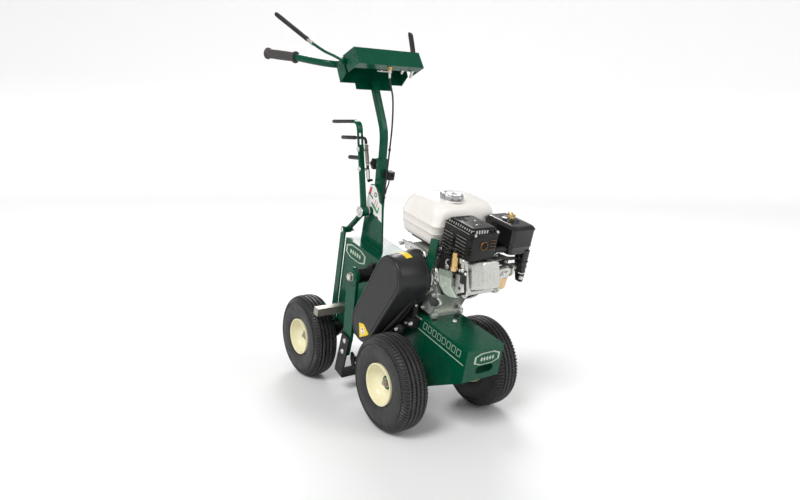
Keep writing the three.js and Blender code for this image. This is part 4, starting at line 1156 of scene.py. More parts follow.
def air_cleaner():
    """Air cleaner with its elbow, domed lid and wing nut."""
    low, high = extent("air_cleaner")
    base = 376
    heights = [
        (base, 7), (base + 2, 4.4), (base + 6, 3.4), (base + 21, 2.6), (base + 22.5, 1.4), (base + 24.5, 1.2),
        (base + 26, 2), (high.z - 20, 1), (high.z - 12, 0.6), (high.z - 11, -0.6), (high.z - 8.6, -0.6),
        (high.z - 7.6, 0.6), (high.z - 3.2, 3.4), (high.z - 1.2, 6.2), (high.z - 0.3, 9.4), (high.z, 13),
    ]
    high = high + Vector((2, 5, 0))
    cover_low = Vector((low.x, low.y - 6, 0))
    shell = Shape().skin([level(z, cover_low, high, 13, inset, 6) for z, inset in heights])
    outlines = []
    waist = ((386, 40, 24, 0), (350, 36, 22, 1), (310, 28, 17, 4), (296, 25, 15, 5), (290, 22, 13, 5))
    for z, width, depth, off in waist:
        outlines.append([Vector((63 + off + u, 177 + off + v, z)) for u, v in rounded(width, depth, 6, 5)])
    stem = Shape().skin(outlines)
    shell.add(stem)
    piece("air_cleaner_skin", shell, GLOSS, sharp=40, replaces=["air_cleaner"])
    ribs = Shape()
    for z in (352, 336, 320):
        half = 13.6 + (z - 288) * 0.08
        ribs.slab([(65 + u, 179 + v) for u, v in rounded(2 * half, 24, 6, 5)], z - 1, z + 1, "xy")
    dome = [(27, 0), (27, 2), (25, 4.6), (20, 6), (12, 6.8), (7.2, 7), (7.2, -1)]
    ribs.turned((CLEANER_NUT_X, CLEANER_NUT_Y, high.z - 1), Z, dome, 56)
    piece("cleaner_dome", ribs, GLOSS, sharp=40)
    cone = [(9, 6), (8.6, 9), (7, 15), (5, 17), (2.8, 17.4), (2.8, 20)]
    nut = Shape().turned((CLEANER_NUT_X, CLEANER_NUT_Y, high.z + 0.3), Z, cone, 28)
    for sign in (-1, 1):
        wing = ((5, 12), (10, 15), (13.5, 18.5))
        path = [(CLEANER_NUT_X + sign * out, CLEANER_NUT_Y, high.z + up) for out, up in wing]
        nut.tube(smooth_path(path, 5), 2.6, 12, [0.9] * 5 + [1.15] * 3 + [1.0, 0.85, 0.5])
    piece("wing_nut_skin", nut, BRASS, "wing_nut", sharp=50, replaces=["wing_nut"])
    clips = Shape().bolt((78, 176, 304), X, 10, 4)
    clips.tube([(80, 160, 322), (84, 172, 318), (80, 186, 318)], 1.6, 8)
    piece("cleaner_clips", clips, ZINC)


def crankcase():
    """Crankcase, finned cylinder and its shroud, feet, bolts and oil plug."""
    shroud = Shape()
    outline = [
        (-12, 304), (20, 310), (44, 315), (46, 292), (76, 272), (48, 262), (24, 262), (2, 276), (-10, 290),
    ]
    shroud.slab(outline, -49, -34)
    piece("cylinder_shroud", shroud, CASE, bevel=2.4, steps=3)
    relief = Shape()
    boss = [(11, -1), (11, 1), (9.6, 1.6), (8.6, 0.4), (4.6, 0.4), (3.6, 1.4), (0.1, 1.4)]
    relief.turned((22, -49, 288), -Y, boss, 36)
    relief.sweep([(0, -49.2, 299), (38, -49.2, 305)], rounded(2, 3, 0.9))
    for k in range(10):
        x = -9 + 5.6 * k
        relief.box((x, -50.5, 304 + x * 0.22), (x + 2.2, -44, 323 + x * 0.24))
    piece("shroud_boss", relief, CASE, sharp=35)
    slats = Shape()
    for k in range(12):
        x = -18 + 5.8 * k
        slats.box((x, -47.5, 306 + x * 0.24), (x + 2.4, -38, 366 + 0.1 * x))
    piece("cylinder_slats", slats, FINS)
    # Painted shadow: a dark sheet behind the head bracket stands for the shade round it.
    painted_shadow = Shape().slab([(46, 342), (84, 352), (96, 290), (64, 268)], -42, -36)
    piece("head_bracket_shadow", painted_shadow, MATTE, bevel=1.5)
    plate = Shape()
    plate.slab([(56, 332), (72, 336), (74, 316), (88, 316), (94, 296), (72, 282), (62, 288)], -47, -42)
    for x, z, r in ((72, 348, 7), (86, 344, 5), (62, 344, 4)):
        plate.dome((x, -42, z), -Y, r, r * 0.8)
    piece("head_bracket", plate, ZINC, bevel=1.2)
    # Painted shade: a dark disc on the zinc bracket stands for the dark inside its hole.
    hole_disc_shade = Shape().turned((78, -46.6, 301), -Y, [(4.4, -1), (4.4, 0.6)], 20)
    piece("bracket_hole_shade", hole_disc_shade, MATTE)
    base = Shape()
    for x, y in FEET:
        base.turned((x, y, DECK_Z + 0.6), Z, [(12, 0), (12, 12), (10.6, 13.4), (0.1, 13.4)], 32)
    base.slab([(-60, 180), (-14, 180), (2, 216), (-10, 226), (-50, 200)], -52, -44)
    piece("engine_feet", base, CAST, bevel=1.4)
    bolts = Shape()
    for x, y in FEET:
        bolts.bolt((x, y, DECK_Z + 14), Z, 12, 7)
    for x, z in ((-50, 186), (-6, 214), (-150, 200), (-166, 290), (-120, 338), (-60, 336)):
        bolts.bolt((x, -46.4 if x < -60 else -52, z), -Y, 9, 5)
    for x, z in ((-20, 236), (-38, 262), (-30, 300)):
        bolts.bolt((x, -46.4, z), -Y, 9, 5)
    piece("engine_bolts", bolts, ZINC, bevel=0.3)
    ribs = Shape()
    for y in (-30, -6, 18, 42, 62):
        ribs.box((-178, y, DECK_Z + 13), (-150, y + 4, 300))
    piece("crankcase_ribs", ribs, CAST, bevel=1.2)
    profile = [(62, -1), (62, 4), (59, 7), (46, 8), (42, 14), (40, 14.2), (12, 14.2)]
    piece("crank_cheek", Shape().turned((CRANK.x, -46, CRANK.z), -Y, profile, 64), CAST, sharp=35)
    neck = Vector((-2, -49, 222))
    away = Vector((8, -13, 8)).normalized()
    plug = Shape()
    for at in ring(neck + away * 11, away, 10.5, 10):
        plug.tube([at, at + away * 7], 1.9, 8)
    plug.turned(neck + away * 17, away, [(11.4, 0), (11.4, 3), (9, 5), (0.1, 5.4)], 32)
    piece("oil_plug_grip", plug, MATTE, "oil_dipstick")
    piece("oil_spout", Shape().turned(neck - away * 10, away, [(15, -2), (14, 7), (12.6, 9.4)], 32), CAST)


HEAD_LOW_Y, HEAD_HIGH_Y = -24, 80


def head_ring(s, half_t, inset, corner, lean=0.0):
    """A round-cornered ring square to the cylinder; lean draws its near side in."""
    low = HEAD_LOW_Y + lean
    middle, half_y = (low + HEAD_HIGH_Y) / 2, (HEAD_HIGH_Y - low) / 2 - inset
    return [cylinder_point(s, v - 3, middle + u) for u, v in rounded(2 * half_y, 2 * half_t, corner, 6)]


def head_and_rocker():
    """Rocker cover, head flange and their bolts, leaning with the cylinder."""
    start = 162.8
    stages = [
        (start, 46, 0, 12), (start + 4, 46, 0, 12), (start + 5, 45, 1, 11), (start + 6, 41, 4, 10, 4),
        (start + 8, 40, 4.6, 11, 5), (start + 15, 39.4, 5, 12, 8), (start + 19, 39, 5.4, 13, 12),
        (start + 30, 37, 6.4, 12, 26), (start + 32.6, 35, 8.4, 11, 29), (start + 34.2, 30, 12, 9, 31),
    ]
    cover = Shape().skin([head_ring(*stage) for stage in stages])
    piece("rocker_cover_skin", cover, SATIN, sharp=28, bevel=0.5, replaces=["rocker_cover"])
    bolts = Shape()
    along = cylinder_point(1, 0, 0) - cylinder_point(0, 0, 0)
    gasket = ((start - 9, 50, -10, 14), (start + 1, 50, -10, 14), (start + 2, 49, -9, 14))
    flange = Shape().skin([head_ring(*stage) for stage in gasket])
    for y, t in ((-30, -48), (-30, 40), (84, -48), (84, 40)):
        at = cylinder_point(start - 10, t, y)
        flange.turned(at, along, [(10.5, -14), (10.5, 14), (9.4, 15.2), (0.1, 15.2)], 28)
        bolts.bolt(at + along * 15.4, along, 10, 6)
    piece("head_flange", flange, SATIN, bevel=0.8)
    piece("rocker_bolts", bolts, ZINC, bevel=0.3)
    ridge = Shape()
    for y in (26, 38, 50):
        ends = [cylinder_point(start + 34, t, y) for t in (-20, 4)]
        ridge.sweep(ends, rounded(3, 2, 0.9), up=along)
    piece("rocker_ridges", ridge, SATIN)


def ignition():
    """Spark plug, its sleeve and lead."""
    sleeve = Shape()
    path = smooth_path([(47.6, -50, 347), (46.5, -50.2, 360), (44.6, -50.2, 374), (43, -50, 388)], 6)
    sleeve.tube(path, 8.8, 22, [0.86 + 0.14 * math.cos(i * 0.12) for i in range(len(path))])
    piece("plug_sleeve", sleeve, BRASS, replaces=["spark_plug_cap"])
    plug = Shape().tube([(48, -32, 330), (48, -46, 334), (48, -50, 342)], 7, 18)
    piece("plug_body", plug, MATTE, sharp=50)
    profile = [(8, -8), (10.4, -6), (11, -2), (10.8, 2), (9, 3.6)]
    piece("plug_collar", Shape().turned((47.8, -50, 346), (-0.1, 0, 1), profile, 28), COPPER)
    way = [(43, -50, 387), (34, -48, 394), (4, -42, 382), (-40, -50, 352), (-66, -52, 330), (-70, -50, 312)]
    piece("plug_lead", Shape().hose(way, 3.4, 12, 8), MATTE)
    clip = Shape().hose([(20, -46, 340), (14, -50, 346), (16, -51, 356), (24, -50, 360)], 2.4, 10, steps=5)
    clip.bolt((18, -47, 336), -Y, 10, 5)
    clip.bolt((-24, -44, 372), -Y, 9, 4)
    clip.bolt((-34, -44, 344), -Y, 9, 4)
    piece("lead_clip", clip, ZINC)


def carburettor():
    """Carburettor, governor plate, links, spring and hoses between the engine and the air cleaner."""
    profile = [
        (3, -6), (5, -5.6), (5.4, 0), (14, 0.4), (20, 3), (22.4, 8), (22.6, 28), (24, 30), (24, 36),
    ]
    piece("float_bowl", Shape().turned((54, 116, 272), Z, profile, 44), COPPER, sharp=50)
    body = Shape().turned((54, 112, 308), Z, [(22, 0), (22, 6), (17, 8), (17, 30)], 44)
    body.turned((56, 116, 322), Y, [(17, -34), (17, -30), (13, -28), (13, 26), (18, 28), (18, 34)], 36)
    body.slab([(84, 308), (130, 308), (134, 330), (122, 340), (88, 336)], 56, 76, "yz")
    piece("carburettor_body", body, SATIN, bevel=1.2)
    knob = Shape().turned((50, 109, 360), Z, [(4.5, -4), (6.4, -2), (6.6, 4), (5, 7.4), (0.1, 8)], 24)
    piece("choke_knob", knob, MATTE, "choke_lever")
    links = Shape()
    for path, r in (
        ([(64, 70, 352), (66, 92, 366), (62, 118, 360), (58, 150, 352)], 2.0),
        ([(70, 66, 340), (76, 88, 350), (74, 112, 344), (66, 140, 338)], 2.0),
        ([(60, 62, 372), (62, 86, 382), (56, 112, 378)], 1.8),
    ):
        links.hose(path, r, 10)
    for at, axis in (((61, 92, 348), X), ((76, 118, 326), X), ((76, 96, 320), X), ((61, 120, 352), X)):
        links.bolt(at, axis, 7, 4)
    links.turned((75, 107, 324), X, [(6, -1), (6, 4), (4.4, 6), (0.1, 6.4)], 24)
    piece("throttle_links", links, ZINC, sharp=40)
    plate = Shape().slab([(62, 336), (132, 344), (136, 362), (98, 376), (66, 366)], 58, 61, "yz")
    piece("governor_plate", plate, MATTE, bevel=1.0)
    hoses = Shape()
    for path, r, sides in (
        ([(56, 60, 384), (62, 84, 392), (62, 120, 388), (58, 156, 380)], 7, 18),
        ([(66, 66, 366), (74, 88, 372), (72, 120, 366), (62, 158, 358)], 4.6, 14),
        ([(64, 70, 322), (78, 84, 344), (76, 118, 348), (66, 150, 330)], 3.4, 12),
    ):
        hoses.hose(path, r, sides)
    piece("engine_hoses", hoses, MATTE, sharp=50)
    spring = Shape().coil(Vector((66, 70, 358)), Vector((64, 116, 366)), 12, 120, 3.4, 0.7, 6)
    piece("governor_spring", spring, ZINC)
    side_links = Shape().hose([(-30, -50, 322), (-14, -54, 306), (-12, -56, 282), (-20, -54, 258)], 2.4, 10)
    side_links.hose([(-18, -52, 318), (-4, -54, 300), (-8, -56, 276)], 1.8, 10)
    for x, z in ((-16, 300), (-12, 276), (-24, 254), (-6, 288)):
        side_links.bolt((x, -52, z), -Y, 10, 6)
    piece("side_linkage", side_links, ZINC, sharp=40)


def recoil_starter():
    """Recoil cover, its ribs and bolts, the handle and the rope that it draws out."""
    low, high = extent("recoil_cover")
    inner, outer = low.y, high.y
    profile = [
        (14, inner + 17), (14, inner + 1), (90, inner), (93, inner + 2), (93.5, inner + 34), (92, inner + 42),
        (88.5, inner + 47.5), (82, inner + 50), (76, inner + 56), (70, inner + 62), (66, outer - 1),
        (62, outer), (30, outer), (27, outer - 3), (12, outer - 4), (10, outer - 2), (0.1, outer - 1.6),
    ]
    cover = Shape().turned((CRANK.x, 0, CRANK.z), Y, profile, 96)
    piece("recoil_shell", cover, GLOSS, sharp=32, replaces=["recoil_cover"])
    ribs = Shape()
    at = Vector((CRANK.x, 0, CRANK.z))
    for k in range(30):
        turn = TAU * k / 30
        out_way = Vector((math.cos(turn), 0, math.sin(turn)))
        for ends, width in (
            (((34, outer + 0.2), (58, outer + 0.2)), 3.2),
            (((83, inner + 50), (91, inner + 45)), 4),
        ):
            ribs.sweep([at + out_way * r + Y * y for r, y in ends], rounded(width, 2.4, 1), up=Y)
    piece("recoil_vents", ribs, MATTE)
    bolts = Shape()
    for at in ring((CRANK.x, outer - 18, CRANK.z), Y, 86, 3, 0.5):
        bolts.bolt(at, Y, 10, 5)
    piece("recoil_bolts", bolts, ZINC, bevel=0.3)
    pull = Vector((-42, extent("recoil_handle")[0].y, 330))
    bush = Shape().turned(pull - Y * 6, Y, [(9, -4), (9, 3), (7.4, 5.6), (4.4, 5.6), (4.2, 0)], 28)
    piece("rope_bush", bush, MATTE)
    strands = [pull + Y * (-4 + 12 * k / 40) for k in range(41)]
    rope = Shape().tube(strands, 2.1, 12, [1 + 0.07 * math.sin(k * 1.9) for k in range(41)])
    made = piece("starter_rope", rope, MATTE, body=None)
    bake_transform(made)


fuel_tank()
muffler()
air_cleaner()
crankcase()
head_and_rocker()
ignition()
carburettor()
recoil_starter()


# ---------- mast and controls ----------
LEVER = pivot("depth_lever_swing")
LINK_PIN = pivot("depth_link_pivot")
LEVER_OUTER_Y, LEVER_INNER_Y = -60, -42
LEVER_UP = Vector((-90, 0, 265)).normalized()
LEVER_AHEAD = Vector((LEVER_UP.z, 0, -LEVER_UP.x))
LEVEL_BACK = Vector((-FORWARD.x, 0, UP.x * -1)).normalized()
ROD_Y = (LEVER_OUTER_Y + LEVER_INNER_Y) / 2
PLATE_Y = extent("quadrant_plate")[1].y - 6
MAST_X = -390
CABLE_X = -360
HAND_AXLE = Vector((-508, 0, 788))
BAR_X, BAR_Z = -583, 769
GRIP_SIDES, GRIP_FLUTES = 120, 15


def up_lever(s, off=0.0, y=ROD_Y):
    """A point s above the depth lever's pivot along the lever and off ahead of it."""
    at = LEVER + LEVER_UP * s + LEVER_AHEAD * off
    at.y = y
    return at


def depth_lever():
    """The depth lever's sleeves, bolts and discs, and its link."""
    grip_low = extent("depth_lever")[0]
    top = up_lever(280)
    reach = top.x - grip_low.x
    heights = [0.0, 0.02, 0.06, 0.4, 0.8, 0.96, 1.0, 1.012]
    swell = [0.93, 1.0, 1.02, 1.0, 1.04, 1.06, 0.95, 0.6]
    path = [top + LEVEL_BACK * (24 + (reach - 17) * share) for share in heights]
    sleeve = Shape().sweep(path, rounded(21, 11.4, 4.6), scale=swell)
    stub = up_lever(167)
    stub_way = Vector((-66, 0, -15)).normalized()
    path = [stub + stub_way * s for s in (9, 10.5, 13, 60, 67, 69.5, 70.2)]
    sleeve.tube(path, 6.9, 18, [0.9, 1.0, 1.0, 1.0, 1.04, 0.9, 0.5])
    piece("lever_sleeves", sleeve, DIPPED, "depth_lever", sharp=45)
    heads = Shape()
    for s in (194, 133):
        at = up_lever(s, -1, LEVER_OUTER_Y)
        heads.turned(at, -Y, [(8.4, -0.5), (8.4, 1.2), (7.6, 1.8)], 28)
        heads.dome(at - Y * 1.4, -Y, 6.6, 4.2)
        heads.bolt(up_lever(s, -1, LEVER_INNER_Y), Y, 10, 5)
    piece("lever_bolts", heads, ZINC, "depth_lever", sharp=35)
    disc = Shape()
    rim = [(17.4, 0), (17.4, 2.2), (16.2, 3.2), (11, 3.4), (10.4, 4.6), (9.2, 6.6), (5.5, 8.0), (0.1, 8.4)]
    disc.turned((LEVER.x, -66, LEVER.z), -Y, rim, 44)
    disc.turned((LEVER.x, LEVER_INNER_Y + 1, LEVER.z), Y, [(16.6, 0), (16.6, 3), (15.4, 4.4), (9, 4.6)], 40)
    disc.bolt((LEVER.x, -18, LEVER.z), Y, 17, 9)
    piece("pivot_discs", disc, ZINC, sharp=35)
    hub = Shape()
    hub.turned((LEVER.x, LEVER_OUTER_Y, LEVER.z), -Y, [(15.6, -1), (15.6, 3.6), (14.4, 4.8), (8, 4.8)], 40)
    piece("lever_hub_ring", hub, GREEN, "depth_lever", sharp=35)
    pins = Shape().dome((LINK_PIN.x, -73, LINK_PIN.z), -Y, 8, 4)
    pins.bolt((LINK_PIN.x, -36, LINK_PIN.z), Y, 12, 6)
    piece("link_pins", pins, ZINC, "depth_link", sharp=35)
    stud = Shape()
    foot = extent("depth_link")[0]
    at = Vector((-480, 0, foot.z + 14))
    stud.turned((at.x, -70.4, at.z), -Y, [(12, 0), (12, 1.8), (5, 1.8), (5, 6), (4, 7)], 32)
    stud.bolt((at.x, -72.4, at.z), -Y, 13, 6)
    piece("link_foot_nut", stud, ZINC, "depth_link", bevel=0.3, sharp=35)


def release_rod():
    """The release rod beside the depth lever, with its sleeve, spring and pin."""
    hook, foot = up_lever(226, 32), up_lever(97, 8, -33)
    tail = hook + Vector((-136, 0, -31))
    path = bent_path([tail, hook, foot, foot + Vector((-1, 2.6, -4))], 15, 7)
    rod_shape = Shape().tube(path, 4.7, 18)
    rod_shape.tube([foot + Y * y for y in (-3.4, -3, 13.6, 14)], 4, 18, [0.8, 1, 1, 0.8])
    piece("release_rod_skin", rod_shape, BLACK, "release_rod", sharp=45, replaces=["release_rod"])
    sleeve = Shape()
    way = (hook - tail).normalized()
    path = [tail + way * s for s in (-1.4, -0.6, 1.5, 40, 78, 80)]
    sleeve.tube(path, 6.4, 18, [0.5, 0.9, 1.02, 1.0, 1.0, 0.88])
    piece("release_sleeve", sleeve, DIPPED, "release_rod", sharp=45)
    down = foot - hook
    start, end = hook + down * 0.14, hook + down * 0.62
    piece("release_spring", Shape().coil(start, end, 14, 14 * 16, 6.2, 1.25, 7), STEEL, "release_rod")
    pin = Shape().tube([start - X * 9, start + X * 22], 1.7, 10)
    for at in (start, end):
        pin.turned(at, down, [(9, -0.9), (9, 0.9), (4.4, 0.9), (4.4, -0.9)], 28, True)
    low_start = hook + down * 0.74
    pin.turned(low_start, down, [(5, 0), (6, 1), (6, 30), (5, 31), (5, 0)], 22)
    piece("spring_pin", pin, ZINC, "release_rod", sharp=35)


def quadrant():
    """The depth scale's plate with a blank label and plain marks, and its weld."""
    face = PLATE_Y
    label = [
        (-437, 354), (-340, 331), (-352, 384), (-367, 389), (-380, 412), (-392, 425), (-405, 431.5),
        (-424, 427.5), (-431.5, 412),
    ]
    piece("quadrant_label", Shape().slab(label, face - 0.5, face + 0.4), WHITE)
    bar = ((0, 0), (2.6, -0.6), (10, 24), (7.4, 24.6))
    bars = [[(x + u, z + v) for u, v in bar] for x, z in ((-394, 366), (-383, 363))]
    for name, look, outlines in (
        ("red", RED, bars + [[(-428, 402), (-417, 400), (-414, 421), (-424, 424)]]),
        ("green", LEAF, [
            [(-409, 371), (-372, 350), (-368, 356), (-405, 378)],
            [(-372, 350), (-366, 352), (-362, 372), (-367, 373)],
        ]),
        ("dark", MATTE, [
            [(-430, 398), (-402, 387), (-401, 391), (-429, 403)],
            [(-374, 338), (-362, 335), (-361, 339), (-373, 342)],
        ]),
    ):
        marks = Shape()
        for k, outline in enumerate(outlines):
            proud = 0.8 if name == "dark" and k == 0 else 0.7
            marks.slab(outline, face - proud, face - 0.3)
        if name == "dark":
            marks.turned((-391, face, 405), -Y, [(7.6, 0.3), (7.6, 0.8), (4.6, 0.8), (4.6, 0.3)], 36, True)
        piece(f"quadrant_{name}_marks", marks, look)
    line = [Vector((-438, PLATE_Y - 1, BOX_TOP_Z + 1)), Vector((-321, PLATE_Y - 1, BOX_TOP_Z + 1))]
    piece("quadrant_weld", weld_bead(line, 2.2), GREEN)


def mast():
    """Mast foot, clamp knob and stop switch."""
    socket_low, socket_high = extent("mast_socket")
    foot = Vector((MAST_X, 0, BOX_TOP_Z))
    half = (socket_high.y - socket_low.y) / 2
    seam = [foot + Vector((u, v, 1)) for u, v in rounded(2 * half + 1, 2 * half + 1, 4)]
    piece("mast_foot_weld", weld_bead(seam + seam[:1], 2.4), GREEN)
    axis = Vector((-40, 0, -4)).normalized()
    knob_at = Vector((-433, 0, 489.6))
    sides, lobe_count = 60, 6
    lobe = [1.9 * (1 - math.cos(TAU * lobe_count * i / sides)) for i in range(sides)]
    rings = []
    for h, r, wave in (
        (8, 13, 0), (9.4, 17.6, 0.6), (12, 19.6, 1), (23, 19.6, 1), (26, 17.6, 0.8), (27.6, 13, 0.4),
        (28.4, 8, 0), (27.4, 6.4, 0),
    ):
        rings.append(uneven_ring(knob_at + axis * h, axis, [r - wave * cut for cut in lobe]))
    lobes = Shape().skin(rings)
    lobes.turned(knob_at, axis, [(9.4, 2), (9.4, 9), (8, 9.4)], 28)
    lobes.turned(knob_at, axis, [(5.4, -4), (5.4, 4)], 20)
    piece("star_knob", lobes, MATTE, "clamp_knob", sharp=40, replaces=["clamp_knob"])
    boss = Shape().turned(knob_at, axis, [(10, -9), (10, -1), (9, 0.4), (5.6, 0.4)], 28)
    boss.dome((-431, 0, 571), Vector((-1, 0, -0.1)), 5, 4)
    piece("mast_hardware", boss, ZINC, sharp=35)
    box_low, box_high = extent("stop_switch_box")
    middle = (box_low + box_high) / 2
    profile = [(6, -1), (6, 1.6), (4.6, 2.4), (2.4, 2.6), (2, 6), (2.6, 8), (1, 8.6)]
    button = Shape().turned((box_high.x, middle.y, middle.z + 4), X, profile, 20)
    piece("stop_button", button, BLACK, sharp=35)
    outline = [(middle.x + u, middle.y + v) for u, v in rounded(22, 17, 2)]
    piece("switch_plate", Shape().slab(outline, box_low.z - 2, box_low.z + 0.2, "xy"), ZINC, sharp=35)
    strap = Shape()
    strap.box((box_low.x - 4, box_low.y - 8, middle.z - 6), (box_low.x + 2, box_high.y - 4, middle.z + 6))
    strap.hose([(-384, 14, 456), (-383, 12, 440), (-381, 6, 426), (-378, 2, 410)], 2.2, 10)
    piece("switch_bracket", strap, MATTE, bevel=0.4)


def control_box():
    """The box behind the mast top: seams, rivets, studs and the control cable."""
    low, high = extent("control_cover")
    edge = Shape()
    for y in (low.y + 2.6, high.y - 2.6):
        top, front = Vector((-470, y, 837.2)), Vector((-430.8, y, 796))
        edge.sweep([top, front], rounded(1.6, 0.9, 0.4, 3), up=Y)
    piece("cover_seams", edge, GREEN)
    bolts = Shape()
    for y in (low.y - 0.2, high.y + 0.2):
        out = Y if y > 0 else -Y
        bolts.dome((-484, y, 789), out, 8, 2.6)
        bolts.dome((-462, y, 812), out, 4.4, 2)
    piece("cover_rivets", bolts, GREEN, sharp=40)
    studs = Shape()
    for y, drop in ((58, 10), (96, 22)):
        at = Vector((-458, y, 781))
        studs.turned(at, (-0.35, 0, -1), [(5.2, -2), (5.2, 3), (4, 4), (4, drop), (3.2, drop + 1.4)], 20)
    studs.tube([(-474, -24, 772), (-474, 30, 772)], 2.2, 12)
    piece("cover_studs", studs, ZINC, sharp=35)
    outlet = Vector((-445, 0, 786))
    way = Vector((5, 0, -19)).normalized()
    fitting = Shape()
    for nut in (
        ((-5, 6.8), (-4.4, 7.6), (1.4, 7.6), (2, 6.8)),
        ((3, 6.2), (3.6, 6.9), (8, 6.9), (8.6, 6.2)),
    ):
        fitting.skin([ring(outlet + way * h, way, r, 6) for h, r in nut])
    piece("cable_fitting", fitting, BRASS, sharp=35)
    profile = [(5, 0), (5, 3), (4.2, 4), (4.2, 14), (3.4, 16), (3.2, 22), (2.7, 23)]
    piece("cable_ferrule", Shape().turned(outlet + way * 8, way, profile, 24), ZINC, sharp=35)
    way_points = [
        (-446, 0, 784), (-441, 0, 765), (-424, -1, 737), (-402, -2, 699), (-386, -3, 627), (-381, -3, 551),
        (-378, -3, 470), (-375, -3, 391), (-366, -2, 320), (CABLE_X, 0, BOX_TOP_Z + 0.3),
    ]
    cable = Shape().tube(smooth_path(way_points, 10), 2.7, 14)
    piece("cable_skin", cable, MATTE, sharp=50, replaces=["control_cable"])
    grommet = Shape().turned((CABLE_X, 0, BOX_TOP_Z), Z, [(8, 0.2), (8, 2), (6, 4), (4, 7), (2.8, 7.4)], 28)
    for z, x in ((551, -381), (400, -375.4)):
        collar = [(3.8, -4), (4.2, -3), (4.2, 3), (3.8, 4), (2.6, 4), (2.6, -4)]
        grommet.turned((x, -3, z), Z, collar, 20, True)
    piece("cable_clips", grommet, MATTE)


def handlebar():
    """The bent bar, its clamps and the two fluted grips."""
    half = [
        (BAR_X, 0, BAR_Z), (BAR_X, 80, BAR_Z), (-596, 122, 768), (-650, 150, 766), (-716, 174, 765),
        (-722, 176.2, 764.6),
    ]
    points = [(x, -y, z) for x, y, z in reversed(half[1:])] + half
    bar = Shape().tube(smooth_path(points, 8), 11, 32)
    piece("handlebar_skin", bar, GREEN, sharp=60, replaces=["handlebar"])
    clamps = Shape()
    for y in (-70, 70):
        collar = [(14, 0), (14.6, 1), (14.6, 17), (14, 18), (10, 18), (10, 0)]
        clamps.turned((BAR_X, y - 9, BAR_Z), Y, collar, 36, True)
        clamps.box((BAR_X - 9, y - 9, BAR_Z - 17), (BAR_X + 9, y + 9, BAR_Z - 9))
    piece("bar_clamps", clamps, GREEN, sharp=35)
    for side, sign in SIDES:
        near, far = Vector((-717, sign * 174.4, 765)), Vector((-838, sign * 219, 757))
        length = (far - near).length
        way = (far - near).normalized()
        stages = [
            (0, 11.4, 0), (0.3, 17.6, 0), (1.6, 18.8, 0), (5.4, 18.8, 0), (7, 17.4, 0), (8, 14.8, 0.1),
            (11, 14.4, 0.7), (16, 14.6, 1), (length * 0.35, 15, 1), (length * 0.6, 15.2, 1),
            (length - 17, 14.8, 1), (length - 12, 14.8, 0.5), (length - 9.6, 15.4, 0),
            (length - 7.6, 17.8, 0), (length - 5.4, 18.9, 0), (length - 2.2, 18.6, 0),
            (length - 0.6, 17, 0), (length, 14, 0), (length, 5, 0), (length - 1, 4, 0),
        ]
        rings = []
        for h, r, wave in stages:
            turns = [TAU * GRIP_FLUTES * i / GRIP_SIDES + h * 0.03 for i in range(GRIP_SIDES)]
            radii = [r - wave * 0.85 * (1 + math.cos(t)) for t in turns]
            rings.append(uneven_ring(near + way * h, way, radii))
        piece(f"grip_{side}_skin", Shape().skin(rings), GRIP, sharp=40, replaces=[f"grip_{side}"])


def hand_levers():
    """The clutch lever on the right and the throttle lever on the left of one axle."""
    bend, tip = Vector((-671, -150, 819)), Vector((-826, -207, 885))
    hub = Shape().hose([(-508, -127, 790), (-560, -129, 797), (-610, -136, 803), bend], 4.7, 18, 8)
    hub.turned((HAND_AXLE.x, -134, HAND_AXLE.z), Y, [(7.6, 0), (9, 1.2), (9, 13.4), (8, 14.5)], 32)
    piece("clutch_rod", hub, GREEN, "clutch_lever", sharp=45, replaces=["clutch_lever"])
    way = (tip - bend).normalized()
    collar = Shape().tube([bend + way * s for s in (-9, -8, 18, 19)], 5.7, 18, [0.9, 1, 1, 0.9])
    piece("clutch_ferrule", collar, STEEL, "clutch_lever", sharp=45)
    length = (tip - bend).length
    heights = [0.09, 0.1, 0.13, 0.17, 0.5, 0.9, 0.97, 1.0, 1.008]
    swell = [0.8, 0.92, 1.0, 0.94, 0.98, 1.0, 0.93, 0.66, 0.4]
    path = [bend + way * length * s for s in heights]
    sleeve = Shape().sweep(path, rounded(11, 15.5, 5.2, 5), scale=swell)
    piece("clutch_sleeve", sleeve, DIPPED, "clutch_lever", sharp=50)
    blade = smooth_path([(-508, 130, 790), (-520, 134, 826), (-545, 140, 860), (-574, 150, 887)], 6)
    swell = [0.72 + 0.28 * min(1, i / 5) for i in range(len(blade) - 1)] + [0.72]
    plate = Shape().sweep(blade, rounded(19, 5.4, 2.2, 4), up=X, scale=swell)
    piece("throttle_blade", plate, DIPPED, "throttle_lever", sharp=50, replaces=["throttle_lever"])
    hub = Shape().turned((HAND_AXLE.x, 119.5, HAND_AXLE.z), Y, [(8, 0), (9, 1.2), (9, 13), (8, 14.5)], 32)
    piece("throttle_hub", hub, STEEL, "throttle_lever", sharp=45)
    bolt = Shape().dome((HAND_AXLE.x, -134.2, HAND_AXLE.z), -Y, 6, 3)
    piece("clutch_axle_bolt", bolt, GREEN, "clutch_lever")
    bolt = Shape().bolt((HAND_AXLE.x, 134.2, HAND_AXLE.z), Y, 11, 5)
    piece("throttle_axle_bolt", bolt, ZINC, "throttle_lever", bevel=0.3)


depth_lever()
release_rod()
quadrant()
mast()
control_box()
handlebar()
hand_levers()


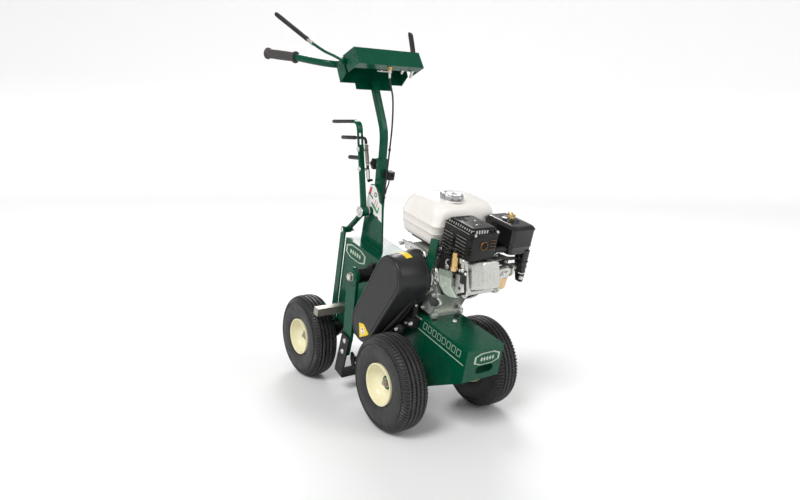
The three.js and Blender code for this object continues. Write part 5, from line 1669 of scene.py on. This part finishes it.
# ---------- floor, lights and camera ----------
def studio():
    """A pale floor, a pale room and broad soft lamps."""
    scene = bpy.context.scene
    reach, bend, rise, sides = 9.0, 1.5, 3.2, 96
    profile = [(reach - bend, 0.0)]
    for t in (0.25, 0.5, 0.8, 1.1, 1.35, 1.571):
        profile.append((reach - bend + bend * math.sin(t), bend - bend * math.cos(t)))
    profile.append((reach, rise))
    points = [(0, 0, 0)]
    for r, z in profile:
        turns = [TAU * i / sides for i in range(sides)]
        points += [(r * math.cos(t), r * math.sin(t), z) for t in turns]
    faces = [(0, 1 + i, 1 + (i + 1) % sides) for i in range(sides)]
    for k in range(len(profile) - 1):
        first = 1 + k * sides
        for i in range(sides):
            j = (i + 1) % sides
            faces.append((first + i, first + sides + i, first + sides + j, first + j))
    floor_mesh = bpy.data.meshes.new("floor")
    floor_mesh.from_pydata(points, [], faces)
    floor_mesh.shade_smooth()
    look = Look("floor", (0.86, 0.86, 0.86), 0.6)
    look.stain(1.5, 3, 0.3, 0.8, 0.2, (0.84, 0.84, 0.84))
    floor_mesh.materials.append(look.material)
    floor = bpy.data.objects.new("floor", floor_mesh)
    scene.collection.objects.link(floor)
    world = bpy.data.worlds.new("room")
    world.use_nodes = True
    world.node_tree.nodes["Background"].inputs[0].default_value = (1, 1, 1, 1)
    world.node_tree.nodes["Background"].inputs[1].default_value = 0.42
    scene.world = world
    for name, at, turn, strength in (
        ("key", (1.0, -2.3, 2.9), 24, 1.9),
        ("fill", (2.4, 1.2, 1.6), 30, 0.75),
        ("rim", (-2.4, 1.6, 2.0), 24, 1.0),
    ):
        lamp = bpy.data.lights.new(name, "SUN")
        lamp.angle = math.radians(turn)
        lamp.energy = strength
        holder = bpy.data.objects.new(name, lamp)
        holder.location = at
        holder.rotation_mode = "QUATERNION"
        holder.rotation_quaternion = (-Vector(at)).to_track_quat("-Z", "Y")
        scene.collection.objects.link(holder)
    scene.view_settings.view_transform = "Standard"


def camera():
    """Three-quarter view from the front right, a little above the engine."""
    data = bpy.data.cameras.new("camera")
    data.sensor_width = 36
    data.lens = 30.158
    data.shift_y = -0.0304
    at = Vector((ORIGIN.x + 1.441109, -1.164248, 0.817684))
    holder = bpy.data.objects.new("camera", data)
    turn, pitch, roll = math.radians(35.462), math.radians(8.187), math.radians(-0.878)
    level = Vector((-math.cos(turn), math.sin(turn), 0))
    right = Vector((math.sin(turn), math.cos(turn), 0))
    ahead = level * math.cos(pitch) - Z * math.sin(pitch)
    down = -(Z * math.cos(pitch) + level * math.sin(pitch))
    across = right * math.cos(roll) + down * math.sin(roll)
    below = -right * math.sin(roll) + down * math.cos(roll)
    holder.matrix_world = Matrix(
        (
            (across.x, -below.x, -ahead.x, at.x),
            (across.y, -below.y, -ahead.y, at.y),
            (across.z, -below.z, -ahead.z, at.z),
            (0, 0, 0, 1),
        )
    )
    bpy.context.scene.collection.objects.link(holder)
    bpy.context.scene.camera = holder


studio()
camera()
